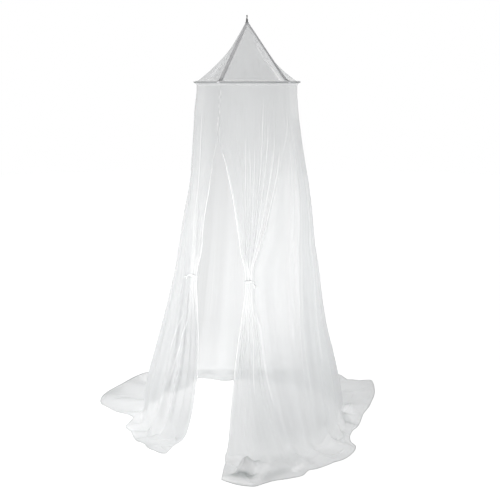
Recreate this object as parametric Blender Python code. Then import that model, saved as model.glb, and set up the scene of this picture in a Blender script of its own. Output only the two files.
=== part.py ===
"""Mosquito net canopy on a hoop: a crown of four sagging gores under four tapes, and a
long gathered skirt of four panels that opens at the front left and pools on the floor.

Metres, +Z up. The origin is the inside of the hook's top bend, where it hangs; the shapes
are worked out as heights above the floor and carried down by one empty. Azimuths are in
degrees round the hook's vertical line, 0 at the front (-Y) and 90 at the right (+X).
"""

import math

import bmesh
import bpy
import numpy as np
from mathutils import Vector

# Driving sizes
HOOP_HEIGHT = 2.05
CROWN_HEIGHT = 0.33
HOOP_RADIUS = 0.297
HOOP_WIRE = 0.006
NET_RADIUS = 0.284
NET_THICKNESS = 0.0015
SEWN_GAP = 0.0004
TAPE_WIDTH = 0.020
TAPE_THICKNESS = 0.0015
FLOOR_LIFT = NET_THICKNESS / 2 + 0.0004

# The sewn seams, as azimuths at the hoop. The first one opens into the doorway.
DOORWAY = -30.0
RIGHT_SEAM = 49.5
BACK_SEAM = 141.5
LEFT_SEAM = 226.0
FULL_TURN = 360.0
SEAMS = (DOORWAY, RIGHT_SEAM, BACK_SEAM, LEFT_SEAM, DOORWAY + FULL_TURN)
SIDES = ("front", "right", "back", "left")

# Stretches of cloth beside the doorway that the ties gather, as azimuths at the hoop
GATHER_RIGHT_END = 34.0
GATHER_LEFT_END = 292.0
GATHER_LEFT_PULL = 262.0

# The pleats of each gather: cloth line and width in degrees, and depth as a share
PLEAT_COLUMNS = ("line", "width", "share")
RIGHT_PLEATS = (
    (-24.0, 12.0, 0.80), (-12.0, 12.0, 1.00), (1.0, 14.0, 0.85), (14.0, 12.0, 1.00), (26.5, 13.0, 0.90),
)
LEFT_PLEATS = ((298.0, 12.0, 0.90), (310.5, 13.0, 1.00), (323.5, 13.0, 0.80))

# The skirt, level by level. Half-widths in metres on four sides, then where five lines of
# cloth lie, in degrees: the doorway's right edge, the end of the right gather, the right
# seam, the end of the left gather and the doorway's left edge, with that edge's radius.
LEVEL_COLUMNS = (
    "height", "left", "right", "front", "back",
    "door_right", "gather_right", "seam_right", "gather_left", "door_left", "door_left_radius",
)
LEVELS = (
    (2.049, 0.284, 0.284, 0.284, 0.284, -30.0, 34.0, 49.5, 292.0, 330.0, 0.284),
    (2.020, 0.284, 0.284, 0.284, 0.284, -30.0, 34.0, 49.5, 292.0, 330.0, 0.284),
    (1.900, 0.297, 0.290, 0.296, 0.294, -29.9, 34.0, 50.5, 292.2, 330.1, 0.295),
    (1.773, 0.303, 0.302, 0.311, 0.306, -29.0, 33.5, 53.0, 293.0, 330.0, 0.314),
    (1.620, 0.312, 0.322, 0.330, 0.322, -20.5, 30.0, 55.0, 296.0, 326.5, 0.333),
    (1.450, 0.329, 0.347, 0.352, 0.347, -12.8, 23.5, 55.0, 300.0, 322.9, 0.350),
    (1.280, 0.360, 0.365, 0.366, 0.372, -8.0, 17.0, 53.0, 304.5, 319.4, 0.368),
    (1.130, 0.381, 0.377, 0.374, 0.393, -4.0, 11.0, 50.0, 306.6, 317.7, 0.376),
    (1.030, 0.397, 0.392, 0.384, 0.410, -1.2, 6.6, 48.5, 307.4, 316.2, 0.386),
    (0.950, 0.411, 0.404, 0.390, 0.424, -1.6, 6.9, 47.0, 307.6, 315.9, 0.387),
    (0.820, 0.441, 0.419, 0.414, 0.446, -6.0, 7.8, 45.0, 307.0, 315.2, 0.385),
    (0.640, 0.485, 0.448, 0.437, 0.480, -8.5, 9.5, 43.0, 306.2, 314.4, 0.387),
    (0.460, 0.533, 0.493, 0.456, 0.525, -9.5, 11.5, 42.5, 305.4, 314.0, 0.391),
    (0.300, 0.577, 0.530, 0.474, 0.564, -10.4, 15.0, 43.0, 303.1, 312.2, 0.403),
    (0.150, 0.606, 0.556, 0.492, 0.596, -11.4, 19.0, 44.0, 300.7, 309.8, 0.421),
    (0.045, 0.632, 0.577, 0.518, 0.624, -12.0, 22.0, 45.0, 298.7, 307.9, 0.444),
    (0.000, 0.664, 0.604, 0.552, 0.660, -12.2, 23.0, 46.0, 297.9, 306.9, 0.474),
)
CLOTH_LINES = (
    DOORWAY, GATHER_RIGHT_END, RIGHT_SEAM, BACK_SEAM, LEFT_SEAM, GATHER_LEFT_END, DOORWAY + FULL_TURN,
)
HEM_LINES = (-10.2, 26.0, 46.0, BACK_SEAM, LEFT_SEAM, 296.5, 314.4)
FLOOR_STEPS = (0.28, 0.52, 0.78, 1.0)

# The hem on the floor, lobe by lobe: azimuth in degrees and distance from the axis.
HEM_COLUMNS = ("azimuth", "radius")
HEM = (
    (-10.2, 0.753), (2.6, 0.812), (11.4, 0.765), (22.4, 0.760), (28.0, 0.722),
    (40.4, 0.730), (53.4, 0.742), (60.0, 0.720), (66.0, 0.660), (75.4, 0.650),
    (83.0, 0.680), (96.5, 0.735), (105.0, 0.816), (115.1, 0.938), (124.6, 1.062),
    (127.3, 1.090), (133.5, 0.975), (139.8, 1.012), (150.0, 0.950), (180.0, 0.860),
    (205.0, 0.930), (222.4, 1.092), (236.9, 1.054), (246.7, 1.045), (251.4, 1.020),
    (258.2, 0.912), (265.0, 0.725), (277.8, 0.746), (293.3, 0.708), (308.1, 0.666),
    (314.4, 0.632),
)

# Loose folds: cloth line and width in degrees, height where it begins, depth at the foot.
FOLD_COLUMNS = ("line", "width", "top", "depth")
FOLDS = (
    (38.0, 7.0, 1.75, 0.028), (45.0, 6.5, 1.50, 0.022),
    (57.5, 10.0, 1.90, 0.040), (68.5, 10.0, 1.55, 0.026), (80.0, 10.0, 1.90, 0.036),
    (91.5, 10.0, 1.60, 0.028), (104.0, 12.0, 1.80, 0.042), (117.5, 12.0, 1.50, 0.034),
    (131.0, 12.0, 1.70, 0.036), (152.5, 14.0, 1.75, 0.036), (167.5, 14.0, 1.45, 0.042),
    (184.0, 15.0, 1.80, 0.034), (200.5, 14.0, 1.50, 0.042), (215.5, 13.0, 1.70, 0.034),
    (235.0, 12.0, 1.80, 0.040), (247.5, 11.0, 1.55, 0.036), (259.0, 10.0, 1.85, 0.032),
    (270.0, 9.5, 1.50, 0.028), (279.5, 8.5, 1.80, 0.030), (287.5, 7.0, 1.50, 0.022),
)
FOLD_GROWTH = 0.8
FLOOR_RIDGE = 0.50  # a loose fold's height at the hem, as a share of its depth at the foot
FLOOR_PLEAT = 0.12  # the same for a gathered pleat
LEAST_STEP = 1.7  # degrees between two columns of a panel
TURN_UP = 0.22  # below this height the folds turn from standing out to standing up

# How deep the gathered pleats are at each height: slack above, tight at the tie, and
# fanned out below
DEPTH_COLUMNS = ("height", "right", "left")
PLEAT_DEPTHS = (
    (0.000, 0.020, 0.016), (0.150, 0.024, 0.019), (0.460, 0.028, 0.023),
    (0.820, 0.036, 0.027), (0.950, 0.042, 0.028), (1.030, 0.042, 0.028),
    (1.130, 0.030, 0.026), (1.280, 0.018, 0.017), (1.450, 0.008, 0.008),
    (1.620, 0.002, 0.002), (1.773, 0.000, 0.000), (2.100, 0.000, 0.000),
)

# The raised, arched fold in the front hem: its cloth line at the foot and at the hem
CRUMPLE_LINES = (0.0, -12.0)
CRUMPLE_WIDTH = 36.0
CRUMPLE_STEP = 0.45
CRUMPLE_REACH = 0.55
CRUMPLE_HEIGHT = 0.085
CRUMPLE_LEAN = 0.030

# Crown
GORE_ROWS = (0.020, 0.12, 0.27, 0.44, 0.62, 0.80, 0.92, 1.0)
GORE_COLUMNS = 9
MOST_TRIM = 12.0
RIDGE_ROUNDING = 0.004
SAG_POWER = 1.5
TAPE_ROWS = (0.052, 0.12, 0.27, 0.44, 0.62, 0.80, 0.90, 0.955)
TAPE_COLUMNS = 5
WIDEST_TAPE = 34.0
TAPE_LIFT = (NET_THICKNESS + TAPE_THICKNESS) / 2 + 0.0009
TAPE_END = ((0.2880, 0.0088), (0.2972, 0.0071), (0.3024, 0.0046), (0.3034, 0.0020), (0.3034, -0.0060))
RING_STEPS = 48
CASING_RISE = 0.0056
CASING_DROP = 0.017
CASING_SLACK = 1.16
CASING_GAP = 0.0008
CASING_TUCK = 0.0003
CASING_ANGLES = (90, 30, -30, -80)
CASING_WAIST = 0.65
CASING_FLARE = 0.0012

# Hanging loop and hook
PATCH_RADIUS = 0.015
PATCH_LIFT = (NET_THICKNESS + TAPE_THICKNESS) / 2 + TAPE_THICKNESS + 0.0026
PATCH_MOUTH = 0.0035
PATCH_RINGS = (1.0, 0.7, 0.4)
PATCH_RISE = 0.003
LOOP_FOOT = 0.0040
FOOT_SPREAD = 0.0004
FOOT_SUNK = 0.0012
FOOT_RISE = 0.003
ROOT_RADII = (0.0066, 0.0058)
ROOT_DEPTH = 0.003
ROOT_SUNK = 0.0004
ROOT_STEPS = 16
LOOP_THICKNESS = 0.0012
LOOP_HEIGHT = 0.011
LOOP_WIDTH = 0.005
LOOP_SPAN = 0.0085
LOOP_TURN = 24.0
HOOK_WIRE = 0.0026
HOOK_BEND = 0.0054
HOOK_SHANK = 0.016
SEATED_GAP = 0.0004

# Ties
TIE_HEIGHT = 0.990
TIE_WIDTH = 0.010
TIE_THICKNESS = 0.0016
TIE_GAP = 0.0012
TIE_BULGE = 0.006
KNOT_RADIUS = 0.007
RIGHT_TAILS = (0.036, 0.028)
LEFT_TAILS = (0.024, 0.018)


def clear_scene():
    for thing in list(bpy.data.objects):
        bpy.data.objects.remove(thing)


def make_material(name, colour, roughness, metallic=0.0, alpha=1.0):
    material = bpy.data.materials.new(name)
    material.use_nodes = True
    shader = material.node_tree.nodes["Principled BSDF"]
    shader.inputs["Base Color"].default_value = (*colour, 1.0)
    shader.inputs["Roughness"].default_value = roughness
    shader.inputs["Metallic"].default_value = metallic
    shader.inputs["Alpha"].default_value = alpha
    return material


def column(table, names, name):
    """One named column of a table, as an array."""
    return np.array([row[names.index(name)] for row in table])


def bump(x):
    """A smooth hump: 1 at x = 0, falling to 0 at x = 1 either side."""
    return np.where(np.abs(x) < 1, 0.5 + 0.5 * np.cos(math.pi * np.clip(x, -1, 1)), 0.0)


def ease(x):
    """0 below x = 0 and 1 above x = 1, with a smooth step between."""
    x = np.clip(x, 0, 1)
    return x * x * (3 - 2 * x)


def through(xs, ys, x):
    """A smooth curve through points that never swings past them, read at x."""
    xs, ys, x = (np.asarray(values, float) for values in (xs, ys, x))
    widths = np.diff(xs)
    slopes = np.diff(ys) / widths
    tangents = np.zeros_like(ys)
    same_way = slopes[:-1] * slopes[1:] > 0
    left_weight, right_weight = 2 * widths[1:] + widths[:-1], widths[1:] + 2 * widths[:-1]
    safe_left = np.where(same_way, slopes[:-1], 1.0)
    safe_right = np.where(same_way, slopes[1:], 1.0)
    mean = (left_weight + right_weight) / (left_weight / safe_left + right_weight / safe_right)
    tangents[1:-1] = np.where(same_way, mean, 0.0)
    tangents[0], tangents[-1] = slopes[0], slopes[-1]
    at = np.clip(np.searchsorted(xs, x, side="right") - 1, 0, len(xs) - 2)
    t = (x - xs[at]) / widths[at]
    return (
        (1 + 2 * t) * (1 - t) ** 2 * ys[at]
        + t * (1 - t) ** 2 * widths[at] * tangents[at]
        + t * t * (3 - 2 * t) * ys[at + 1]
        - t * t * (1 - t) * widths[at] * tangents[at + 1]
    )


def polar(azimuth, radius, height):
    """Points from azimuths in degrees, distances from the axis and heights."""
    angle = np.radians(azimuth)
    x, y = radius * np.sin(angle), -radius * np.cos(angle)
    return np.stack(np.broadcast_arrays(x, y, height), axis=-1)


# ---- The skirt's surface


def oval_radius(azimuth, left, right, front, back):
    """Distance to an oval whose four quarters meet at its four half-widths."""
    angle = np.radians(azimuth)
    side = np.where(np.sin(angle) > 0, right, left)
    end = np.where(np.cos(angle) > 0, front, back)
    return 1 / np.hypot(np.sin(angle) / side, np.cos(angle) / end)


def level_ring(row, lines):
    """Azimuths and radii at which the cloth lines pass one level of the skirt."""
    level = dict(zip(LEVEL_COLUMNS, row))
    marks = [
        level["door_right"], level["gather_right"], level["seam_right"],
        BACK_SEAM, LEFT_SEAM, level["gather_left"], level["door_left"],
    ]
    azimuth = through(CLOTH_LINES, marks, lines)
    radius = oval_radius(azimuth, level["left"], level["right"], level["front"], level["back"])
    pulled = ease((lines - GATHER_LEFT_PULL) / (CLOTH_LINES[-1] - 8 - GATHER_LEFT_PULL))
    return azimuth, radius + (level["door_left_radius"] - radius) * pulled


def loose_folds(lines, height):
    """How far the loose folds stand out from the skirt at one height."""
    out = np.zeros(len(lines))
    for row in FOLDS:
        fold = dict(zip(FOLD_COLUMNS, row))
        grown = max(0.0, 1 - height / fold["top"]) ** FOLD_GROWTH
        out += fold["depth"] * grown * bump(2 * (lines - fold["line"]) / fold["width"])
    return out


def gathered_pleats(lines, height):
    """How far the tied pleats beside the doorway stand out at one height."""
    heights = column(PLEAT_DEPTHS, DEPTH_COLUMNS, "height")
    slack_side = 1 - 0.75 * ease((height - 1.06) / 0.2) * ease((8 - lines) / 20)
    out = np.zeros(len(lines))
    for side, pleats, slack in (("right", RIGHT_PLEATS, slack_side), ("left", LEFT_PLEATS, 1.0)):
        deep = through(heights, column(PLEAT_DEPTHS, DEPTH_COLUMNS, side), height)
        for row in pleats:
            pleat = dict(zip(PLEAT_COLUMNS, row))
            out += deep * slack * pleat["share"] * bump(2 * (lines - pleat["line"]) / pleat["width"])
    return out


def crumple(lines, step):
    """Height of the arched fold in the front hem, at one step from foot to hem."""
    foot, hem = CRUMPLE_LINES
    across = bump(2 * (lines - foot - (hem - foot) * step) / CRUMPLE_WIDTH)
    return across * bump((step - CRUMPLE_STEP) / CRUMPLE_REACH)


def skirt_surface(lines):
    """The smooth skirt, the way its folds stand out of it and how far they do, each with a
    row for each level and floor step and a column for each cloth line."""
    rings, folds, turned = [], [], []
    for row in LEVELS:
        height = row[0]
        azimuth, radius = level_ring(row, lines)
        loose, gathered = loose_folds(lines, height), gathered_pleats(lines, height)
        rings.append(polar(azimuth, radius, max(height, FLOOR_LIFT)))
        folds.append(loose + gathered)
        turned.append(ease(1 - height / TURN_UP))
    foot_azimuth, foot_radius = azimuth, radius
    hem_azimuth = through(CLOTH_LINES, HEM_LINES, lines)
    hem_radius = through(
        column(HEM, HEM_COLUMNS, "azimuth"), column(HEM, HEM_COLUMNS, "radius"), hem_azimuth
    )
    for step in FLOOR_STEPS:
        azimuth = foot_azimuth + (hem_azimuth - foot_azimuth) * step
        radius = foot_radius + (hem_radius - foot_radius) * step
        rings.append(polar(azimuth, radius + CRUMPLE_LEAN * crumple(lines, step), FLOOR_LIFT))
        folds.append(loose * (1 - (1 - FLOOR_RIDGE) * step) + gathered * (1 - (1 - FLOOR_PLEAT) * step))
        turned.append(1.0)
    base = np.array(rings)
    normal = np.cross(np.gradient(base, axis=0), np.gradient(base, axis=1))
    normal /= np.linalg.norm(normal, axis=-1, keepdims=True)
    share = np.array(turned)[:, None, None]
    normal = normal * (1 - share) + np.array((0.0, 0.0, 1.0)) * share
    normal /= np.linalg.norm(normal, axis=-1, keepdims=True)
    return base, normal, np.array(folds)


def skirt_grid(lines):
    """The skirt's points, with its folds and the arched fold in its front hem."""
    base, normal, out = skirt_surface(lines)
    points = base + normal * out[..., None]
    for n, step in enumerate(FLOOR_STEPS, len(LEVELS)):
        points[n, :, 2] += CRUMPLE_HEIGHT * crumple(lines, step)
    points[..., 2] = np.maximum(points[..., 2], FLOOR_LIFT)
    return points


def fold_lines(start, end):
    """Cloth lines that carry a panel's folds: four steps to a fold or a pleat."""
    quarters = (-0.5, -0.25, 0.0, 0.25, 0.5)
    folds = FOLDS + RIGHT_PLEATS + LEFT_PLEATS
    wanted = [fold[0] + fold[1] * share for fold in folds for share in quarters]
    inner = sorted(line for line in wanted if start + LEAST_STEP < line < end - LEAST_STEP)
    kept = [start]
    for line in inner:
        if line - kept[-1] > LEAST_STEP:
            kept.append(line)
    return np.array(kept + [end])


# ---- Building sheets


def grid_mesh(name, grid, closed=False):
    """A triangle mesh over a grid of points; closed joins its last column to its first."""
    rows, columns = grid.shape[:2]
    faces = []
    for i in range(rows - 1):
        for j in range(columns if closed else columns - 1):
            k = (j + 1) % columns
            a, b, c, d = i * columns + j, i * columns + k, (i + 1) * columns + k, (i + 1) * columns + j
            corners = [grid[n // columns, n % columns] for n in (a, b, c, d)]
            if np.linalg.norm(corners[0] - corners[2]) < np.linalg.norm(corners[1] - corners[3]):
                faces += [(a, b, c), (a, c, d)]
            else:
                faces += [(a, b, d), (b, c, d)]
    mesh = bpy.data.meshes.new(name)
    mesh.from_pydata([tuple(point) for point in grid.reshape(-1, 3)], [], faces)
    mesh.shade_smooth()
    return mesh


def add_sheet(name, grid, thickness, material, parent, closed=False):
    """A sheet of cloth of even thickness, centred on a grid of points."""
    sheet = bpy.data.objects.new(name, grid_mesh(name, grid, closed))
    bpy.context.scene.collection.objects.link(sheet)
    sheet.data.materials.append(material)
    sheet.parent = parent
    wall = sheet.modifiers.new("wall", "SOLIDIFY")
    wall.thickness = thickness
    wall.offset = 0.0
    return sheet


def hide_helper(helper):
    helper.hide_render = True
    helper.display_type = "WIRE"


def add_form(name, form, place, parent):
    """A helper solid from a bmesh, which it frees."""
    mesh = bpy.data.meshes.new(name)
    form.to_mesh(mesh)
    form.free()
    helper = bpy.data.objects.new(name, mesh)
    bpy.context.scene.collection.objects.link(helper)
    helper.location = place
    helper.parent = parent
    return helper


def strap(name, centres, half_width, thickness, material, parent):
    """A flat strap along a row of centres, with its width along half_width."""
    rows = [[tuple(centre - half_width), tuple(centre + half_width)] for centre in centres]
    return add_sheet(name, np.array(rows), thickness, material, parent)


def fuse(main, helpers):
    """Joins helper solids into one main solid."""
    for helper in helpers:
        union = main.modifiers.new("join_" + helper.name, "BOOLEAN")
        union.operation = "UNION"
        union.object = helper
        hide_helper(helper)


def add_skirt(parent, net):
    """Four panels, sewn edge to edge with a hair's gap."""
    half_gap = math.degrees(SEWN_GAP / 2 / NET_RADIUS)
    for side, start, end in zip(SIDES, SEAMS, SEAMS[1:]):
        lines = fold_lines(start + half_gap, end - half_gap)
        add_sheet("skirt_" + side, skirt_grid(lines), NET_THICKNESS, net, parent)


# ---- Crown, hoop and casing


def crown_point(azimuth, share, gore):
    """A point of the crown: share is 0 at the tip and 1 at the hoop, gore its two seams."""
    start, end = gore
    radius = share * (NET_RADIUS + 0.0005)
    edge = min(azimuth - start, end - azimuth)
    rounding = math.degrees(RIDGE_ROUNDING / max(radius, RIDGE_ROUNDING))
    edge = math.hypot(max(edge, 0.0), rounding) - rounding
    half = math.radians(end - start) / 2
    chord = math.cos(half) / math.cos(half - math.radians(edge))
    filled = share**SAG_POWER
    height = HOOP_HEIGHT + 0.002 + (CROWN_HEIGHT - 0.002) * (1 - share)
    return polar(azimuth, radius * (filled + (1 - filled) * chord), height)


def gore_of(azimuth):
    """The azimuth turned into the gores' range, and the pair of seams that it lies between."""
    turned = (azimuth - DOORWAY) % FULL_TURN + DOORWAY
    for gore in zip(SEAMS, SEAMS[1:]):
        if turned <= gore[1]:
            return turned, gore
    raise ValueError(azimuth)


def lifted_crown(azimuth, share, lift):
    """A point above the crown's cloth by a lift along its own normal."""

    def cloth(angle, at_share):
        turned, gore = gore_of(angle)
        return crown_point(turned, at_share, gore)

    here = cloth(azimuth, share)
    side = cloth(azimuth + 0.5, share) - cloth(azimuth - 0.5, share)
    down = cloth(azimuth, share + 0.004) - cloth(azimuth, share - 0.004)
    normal = np.cross(down, side)
    return here + lift * normal / np.linalg.norm(normal)


def add_crown(parent, net):
    """Four gores that sag between the seams, where they leave a hair's gap."""
    for side, start, end in zip(SIDES, SEAMS, SEAMS[1:]):
        rows = []
        for share in GORE_ROWS:
            trim = math.degrees((NET_THICKNESS + SEWN_GAP) / 2 / (share * NET_RADIUS))
            trim = min(trim, MOST_TRIM)
            azimuths = np.linspace(start + trim, end - trim, GORE_COLUMNS)
            rows.append([crown_point(azimuth, share, (start, end)) for azimuth in azimuths])
        add_sheet("crown_" + side, np.array(rows), NET_THICKNESS, net, parent)


def add_tapes(parent, webbing):
    """Four tapes down the crown's seams, turned over the hoop at the foot."""
    names = ("front_left", "front_right", "back_right", "back_left")
    for name, seam in zip(names, SEAMS):
        rows = []
        for share in TAPE_ROWS:
            half = min(math.degrees(TAPE_WIDTH / 2 / (share * NET_RADIUS)), WIDEST_TAPE)
            turns = np.linspace(-half, half, TAPE_COLUMNS)
            rows.append([lifted_crown(seam + turn, share, TAPE_LIFT) for turn in turns])
        for radius, rise in TAPE_END:
            half = math.degrees(TAPE_WIDTH / 2 / radius)
            turns = np.linspace(-half, half, TAPE_COLUMNS)
            rows.append([polar(seam + turn, radius, HOOP_HEIGHT + rise) for turn in turns])
        add_sheet("tape_" + name, np.array(rows), TAPE_THICKNESS, webbing, parent)


def add_hoop(parent, wire):
    """The ring that spreads the net."""
    bpy.ops.mesh.primitive_torus_add(
        major_radius=HOOP_RADIUS, minor_radius=HOOP_WIRE / 2, major_segments=RING_STEPS, minor_segments=6
    )
    hoop = bpy.context.object
    hoop.name = "hoop"
    hoop.location = (0, 0, HOOP_HEIGHT)
    hoop.parent = parent
    hoop.data.materials.append(wire)
    hoop.data.shade_smooth()


def add_casing(parent, net):
    """The channel of net round the outside of the hoop."""
    bend = CASING_SLACK * (HOOP_WIRE / 2 + NET_THICKNESS / 2 + SEATED_GAP)
    inside = NET_RADIUS + NET_THICKNESS + CASING_GAP
    profile = [(NET_RADIUS + CASING_TUCK, CASING_RISE)]
    for angle in np.radians(CASING_ANGLES):
        profile.append((HOOP_RADIUS + bend * math.cos(angle), bend * math.sin(angle)))
    waist = -CASING_WAIST * CASING_DROP
    profile += [(inside + CASING_FLARE, waist), (inside, -CASING_DROP)]
    azimuths = np.linspace(0, FULL_TURN, RING_STEPS, endpoint=False)
    rows = [polar(azimuths, radius, HOOP_HEIGHT + rise) for radius, rise in profile]
    add_sheet("hoop_casing", np.array(rows), NET_THICKNESS, net, parent, closed=True)


# ---- Hanging loop and hook


def add_loop(parent, webbing):
    """A small patch over the tip of the crown, with the loop that hangs on the hook."""
    tip = HOOP_HEIGHT + CROWN_HEIGHT
    turns = []
    for start, end in zip(SEAMS, SEAMS[1:]):
        turns += list(np.linspace(start, end, 4, endpoint=False))
    rows = []
    for share in PATCH_RINGS:
        radius = PATCH_RADIUS * share
        rows.append([lifted_crown(turn, radius / NET_RADIUS, PATCH_LIFT) for turn in turns])
    top = max(point[2] for point in rows[-1]) + PATCH_RISE
    rows.append([polar(turn, PATCH_MOUTH, top) for turn in turns])
    patch = add_sheet("hanging_loop", np.array(rows), TAPE_THICKNESS, webbing, parent, closed=True)

    turn = Vector((math.cos(math.radians(LOOP_TURN)), math.sin(math.radians(LOOP_TURN)), 0))
    deep = Vector((-turn.y, turn.x, 0))
    half = LOOP_SPAN / 2
    arch = []
    for angle in np.linspace(0, math.pi, 9):
        arch.append((half * math.cos(angle), tip + LOOP_HEIGHT - half + half * math.sin(angle)))
    spread, low, high = LOOP_FOOT + FOOT_SPREAD, top - FOOT_SUNK, top + FOOT_RISE
    route = [(LOOP_FOOT, low), (spread, high)] + arch + [(-spread, high), (-LOOP_FOOT, low)]
    centres = [turn * across + Vector((0, 0, height)) for across, height in route]
    band = strap("loop_band", centres, deep * (LOOP_WIDTH / 2), LOOP_THICKNESS, webbing, parent)

    form = bmesh.new()
    bmesh.ops.create_cone(
        form,
        cap_ends=True,
        segments=ROOT_STEPS,
        radius1=ROOT_RADII[0],
        radius2=ROOT_RADII[1],
        depth=ROOT_DEPTH,
    )
    root = add_form("loop_root", form, (0, 0, top - ROOT_SUNK), parent)
    fuse(patch, [root, band])
    return tip + LOOP_HEIGHT - LOOP_THICKNESS / 2


def add_hook(parent, wire, loop_top):
    """An S of wire: its lower bend carries the loop and its upper bend hangs."""
    inner = HOOK_BEND - HOOK_WIRE / 2
    rise = inner - math.sqrt(inner**2 - (LOOP_WIDTH / 2) ** 2)
    low = loop_top - SEATED_GAP - rise + inner
    high = low + HOOK_SHANK
    lean = math.degrees(math.asin(2 * HOOK_BEND / HOOK_SHANK))
    outline = []
    for angle in np.radians(np.linspace(165, 360 + lean, 13)):
        outline.append((HOOK_BEND * math.cos(angle), low + HOOK_BEND * math.sin(angle)))
    for angle in np.radians(np.linspace(180 + lean, -5, 12)):
        outline.append((HOOK_BEND * math.cos(angle), high + HOOK_BEND * math.sin(angle)))
    data = bpy.data.curves.new("hook", "CURVE")
    data.dimensions = "3D"
    data.bevel_depth = HOOK_WIRE / 2
    data.bevel_resolution = 2
    data.use_fill_caps = True
    spline = data.splines.new("POLY")
    spline.points.add(len(outline) - 1)
    turn = math.radians(LOOP_TURN + 90)
    for point, (across, height) in zip(spline.points, outline):
        point.co = (across * math.cos(turn), across * math.sin(turn), height, 1)
    hook = bpy.data.objects.new("hook", data)
    bpy.context.scene.collection.objects.link(hook)
    hook.data.materials.append(wire)
    hook.parent = parent
    return high + inner


# ---- Ties


def add_tie(name, first, last, tails, parent, webbing):
    """A tie round one bunch of pleats, from its outer face round the free edge and back.

    first and last are the cloth lines at the free edge and at the far end of the gather.
    """
    heights = [row[0] for row in LEVELS]
    above = max(n for n, height in enumerate(heights) if height > TIE_HEIGHT)
    share = (heights[above] - TIE_HEIGHT) / (heights[above] - heights[above + 1])
    lines = np.linspace(min(first, last), max(first, last), 41)
    inner, radial, folds = (
        values[above] * (1 - share) + values[above + 1] * share for values in skirt_surface(lines)
    )
    if first > last:
        inner, radial, folds = inner[::-1], radial[::-1], folds[::-1]
    radial[:, 2] = 0
    radial /= np.linalg.norm(radial, axis=1, keepdims=True)
    clear = (NET_THICKNESS + TIE_THICKNESS) / 2 + TIE_GAP
    ahead = (inner[0] - inner[-1]) / np.linalg.norm(inner[0] - inner[-1])
    front = inner + radial * (folds.max() + clear)
    back = inner - radial * clear
    every = slice(None, None, 8)
    route = list(front[::-1][every])
    middle = (front[0] + back[0]) / 2
    half = np.linalg.norm(front[0] - back[0]) / 2
    for angle in np.radians((60, 20, -20, -60)):
        out, on = half * math.sin(angle), TIE_BULGE * math.cos(angle)
        route.append(middle + radial[0] * out + ahead * on)
    route += list(back[every])
    centres = [Vector((x, y, TIE_HEIGHT)) for x, y, _ in route]
    band = strap(name, centres, Vector((0, 0, TIE_WIDTH / 2)), TIE_THICKNESS, webbing, parent)

    outward, along = Vector(radial[-1]), Vector(ahead)
    knot_at = centres[0] + outward * 0.002 - along * 0.002
    form = bmesh.new()
    bmesh.ops.create_icosphere(form, subdivisions=2, radius=KNOT_RADIUS)
    bmesh.ops.scale(form, vec=(0.9, 0.62, 1.0), verts=form.verts)
    knot = add_form(name + "_knot", form, knot_at, parent)
    knot.rotation_euler.z = math.atan2(outward.y, outward.x) + math.pi / 2
    helpers = [knot]
    for n, length in enumerate(tails):
        drift = along * (-0.006 - 0.010 * n) + outward * (0.010 + 0.004 * n)
        fall = drift + Vector((0, 0, -length))
        centres = [knot_at + fall * t for t in np.linspace(0, 1, 6)]
        tail = strap(f"{name}_tail_{n}", centres, along * 0.004, TIE_THICKNESS, webbing, parent)
        helpers.append(tail)
    fuse(band, helpers)


def main():
    clear_scene()
    net = make_material("net", (0.86, 0.87, 0.87), 0.75, alpha=0.5)
    webbing = make_material("webbing", (0.42, 0.42, 0.43), 0.6)
    tie_tape = make_material("tie_tape", (0.88, 0.88, 0.87), 0.6)
    loop_tape = make_material("loop_tape", (0.02, 0.02, 0.022), 0.7)
    hoop_wire = make_material("hoop_wire", (0.33, 0.34, 0.34), 0.35)
    hook_wire = make_material("hook_wire", (0.30, 0.30, 0.30), 0.35, metallic=0.8)

    canopy = bpy.data.objects.new("canopy", None)
    bpy.context.scene.collection.objects.link(canopy)

    add_skirt(canopy, net)
    add_crown(canopy, net)
    add_casing(canopy, net)
    add_hoop(canopy, hoop_wire)
    add_tapes(canopy, webbing)
    loop_top = add_loop(canopy, loop_tape)
    hanging_height = add_hook(canopy, hook_wire, loop_top)
    add_tie("tie_right", DOORWAY, GATHER_RIGHT_END, RIGHT_TAILS, canopy, tie_tape)
    add_tie("tie_left", DOORWAY + FULL_TURN, GATHER_LEFT_END, LEFT_TAILS, canopy, tie_tape)
    canopy.location = (0, 0, -hanging_height)


main()
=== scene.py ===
import math

import bpy
import numpy as np
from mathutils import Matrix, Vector


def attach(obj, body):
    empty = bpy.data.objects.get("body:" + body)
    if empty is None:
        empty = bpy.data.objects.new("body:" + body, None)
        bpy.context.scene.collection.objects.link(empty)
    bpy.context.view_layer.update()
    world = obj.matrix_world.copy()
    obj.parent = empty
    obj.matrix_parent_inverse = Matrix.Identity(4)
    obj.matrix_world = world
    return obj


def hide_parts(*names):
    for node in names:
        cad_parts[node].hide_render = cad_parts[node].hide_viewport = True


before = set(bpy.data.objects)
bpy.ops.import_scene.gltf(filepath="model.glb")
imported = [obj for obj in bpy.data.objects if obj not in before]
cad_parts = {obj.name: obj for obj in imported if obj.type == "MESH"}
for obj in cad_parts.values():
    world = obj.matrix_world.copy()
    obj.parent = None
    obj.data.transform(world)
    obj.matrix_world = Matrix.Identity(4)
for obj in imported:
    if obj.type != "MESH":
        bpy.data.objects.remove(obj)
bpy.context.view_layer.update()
scene = bpy.context.scene
hangingHeight = 2.41335
rng = np.random.default_rng(11)


# Helpers for curves and surfaces


def bump(x):
    # A hump: 1 at 0, falling to 0 at 1 either side.
    return np.where(np.abs(x) < 1, 0.5 + 0.5 * np.cos(math.pi * np.clip(x, -1, 1)), 0.0)


def ease(x):
    x = np.clip(x, 0, 1)
    return x * x * (3 - 2 * x)


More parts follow.
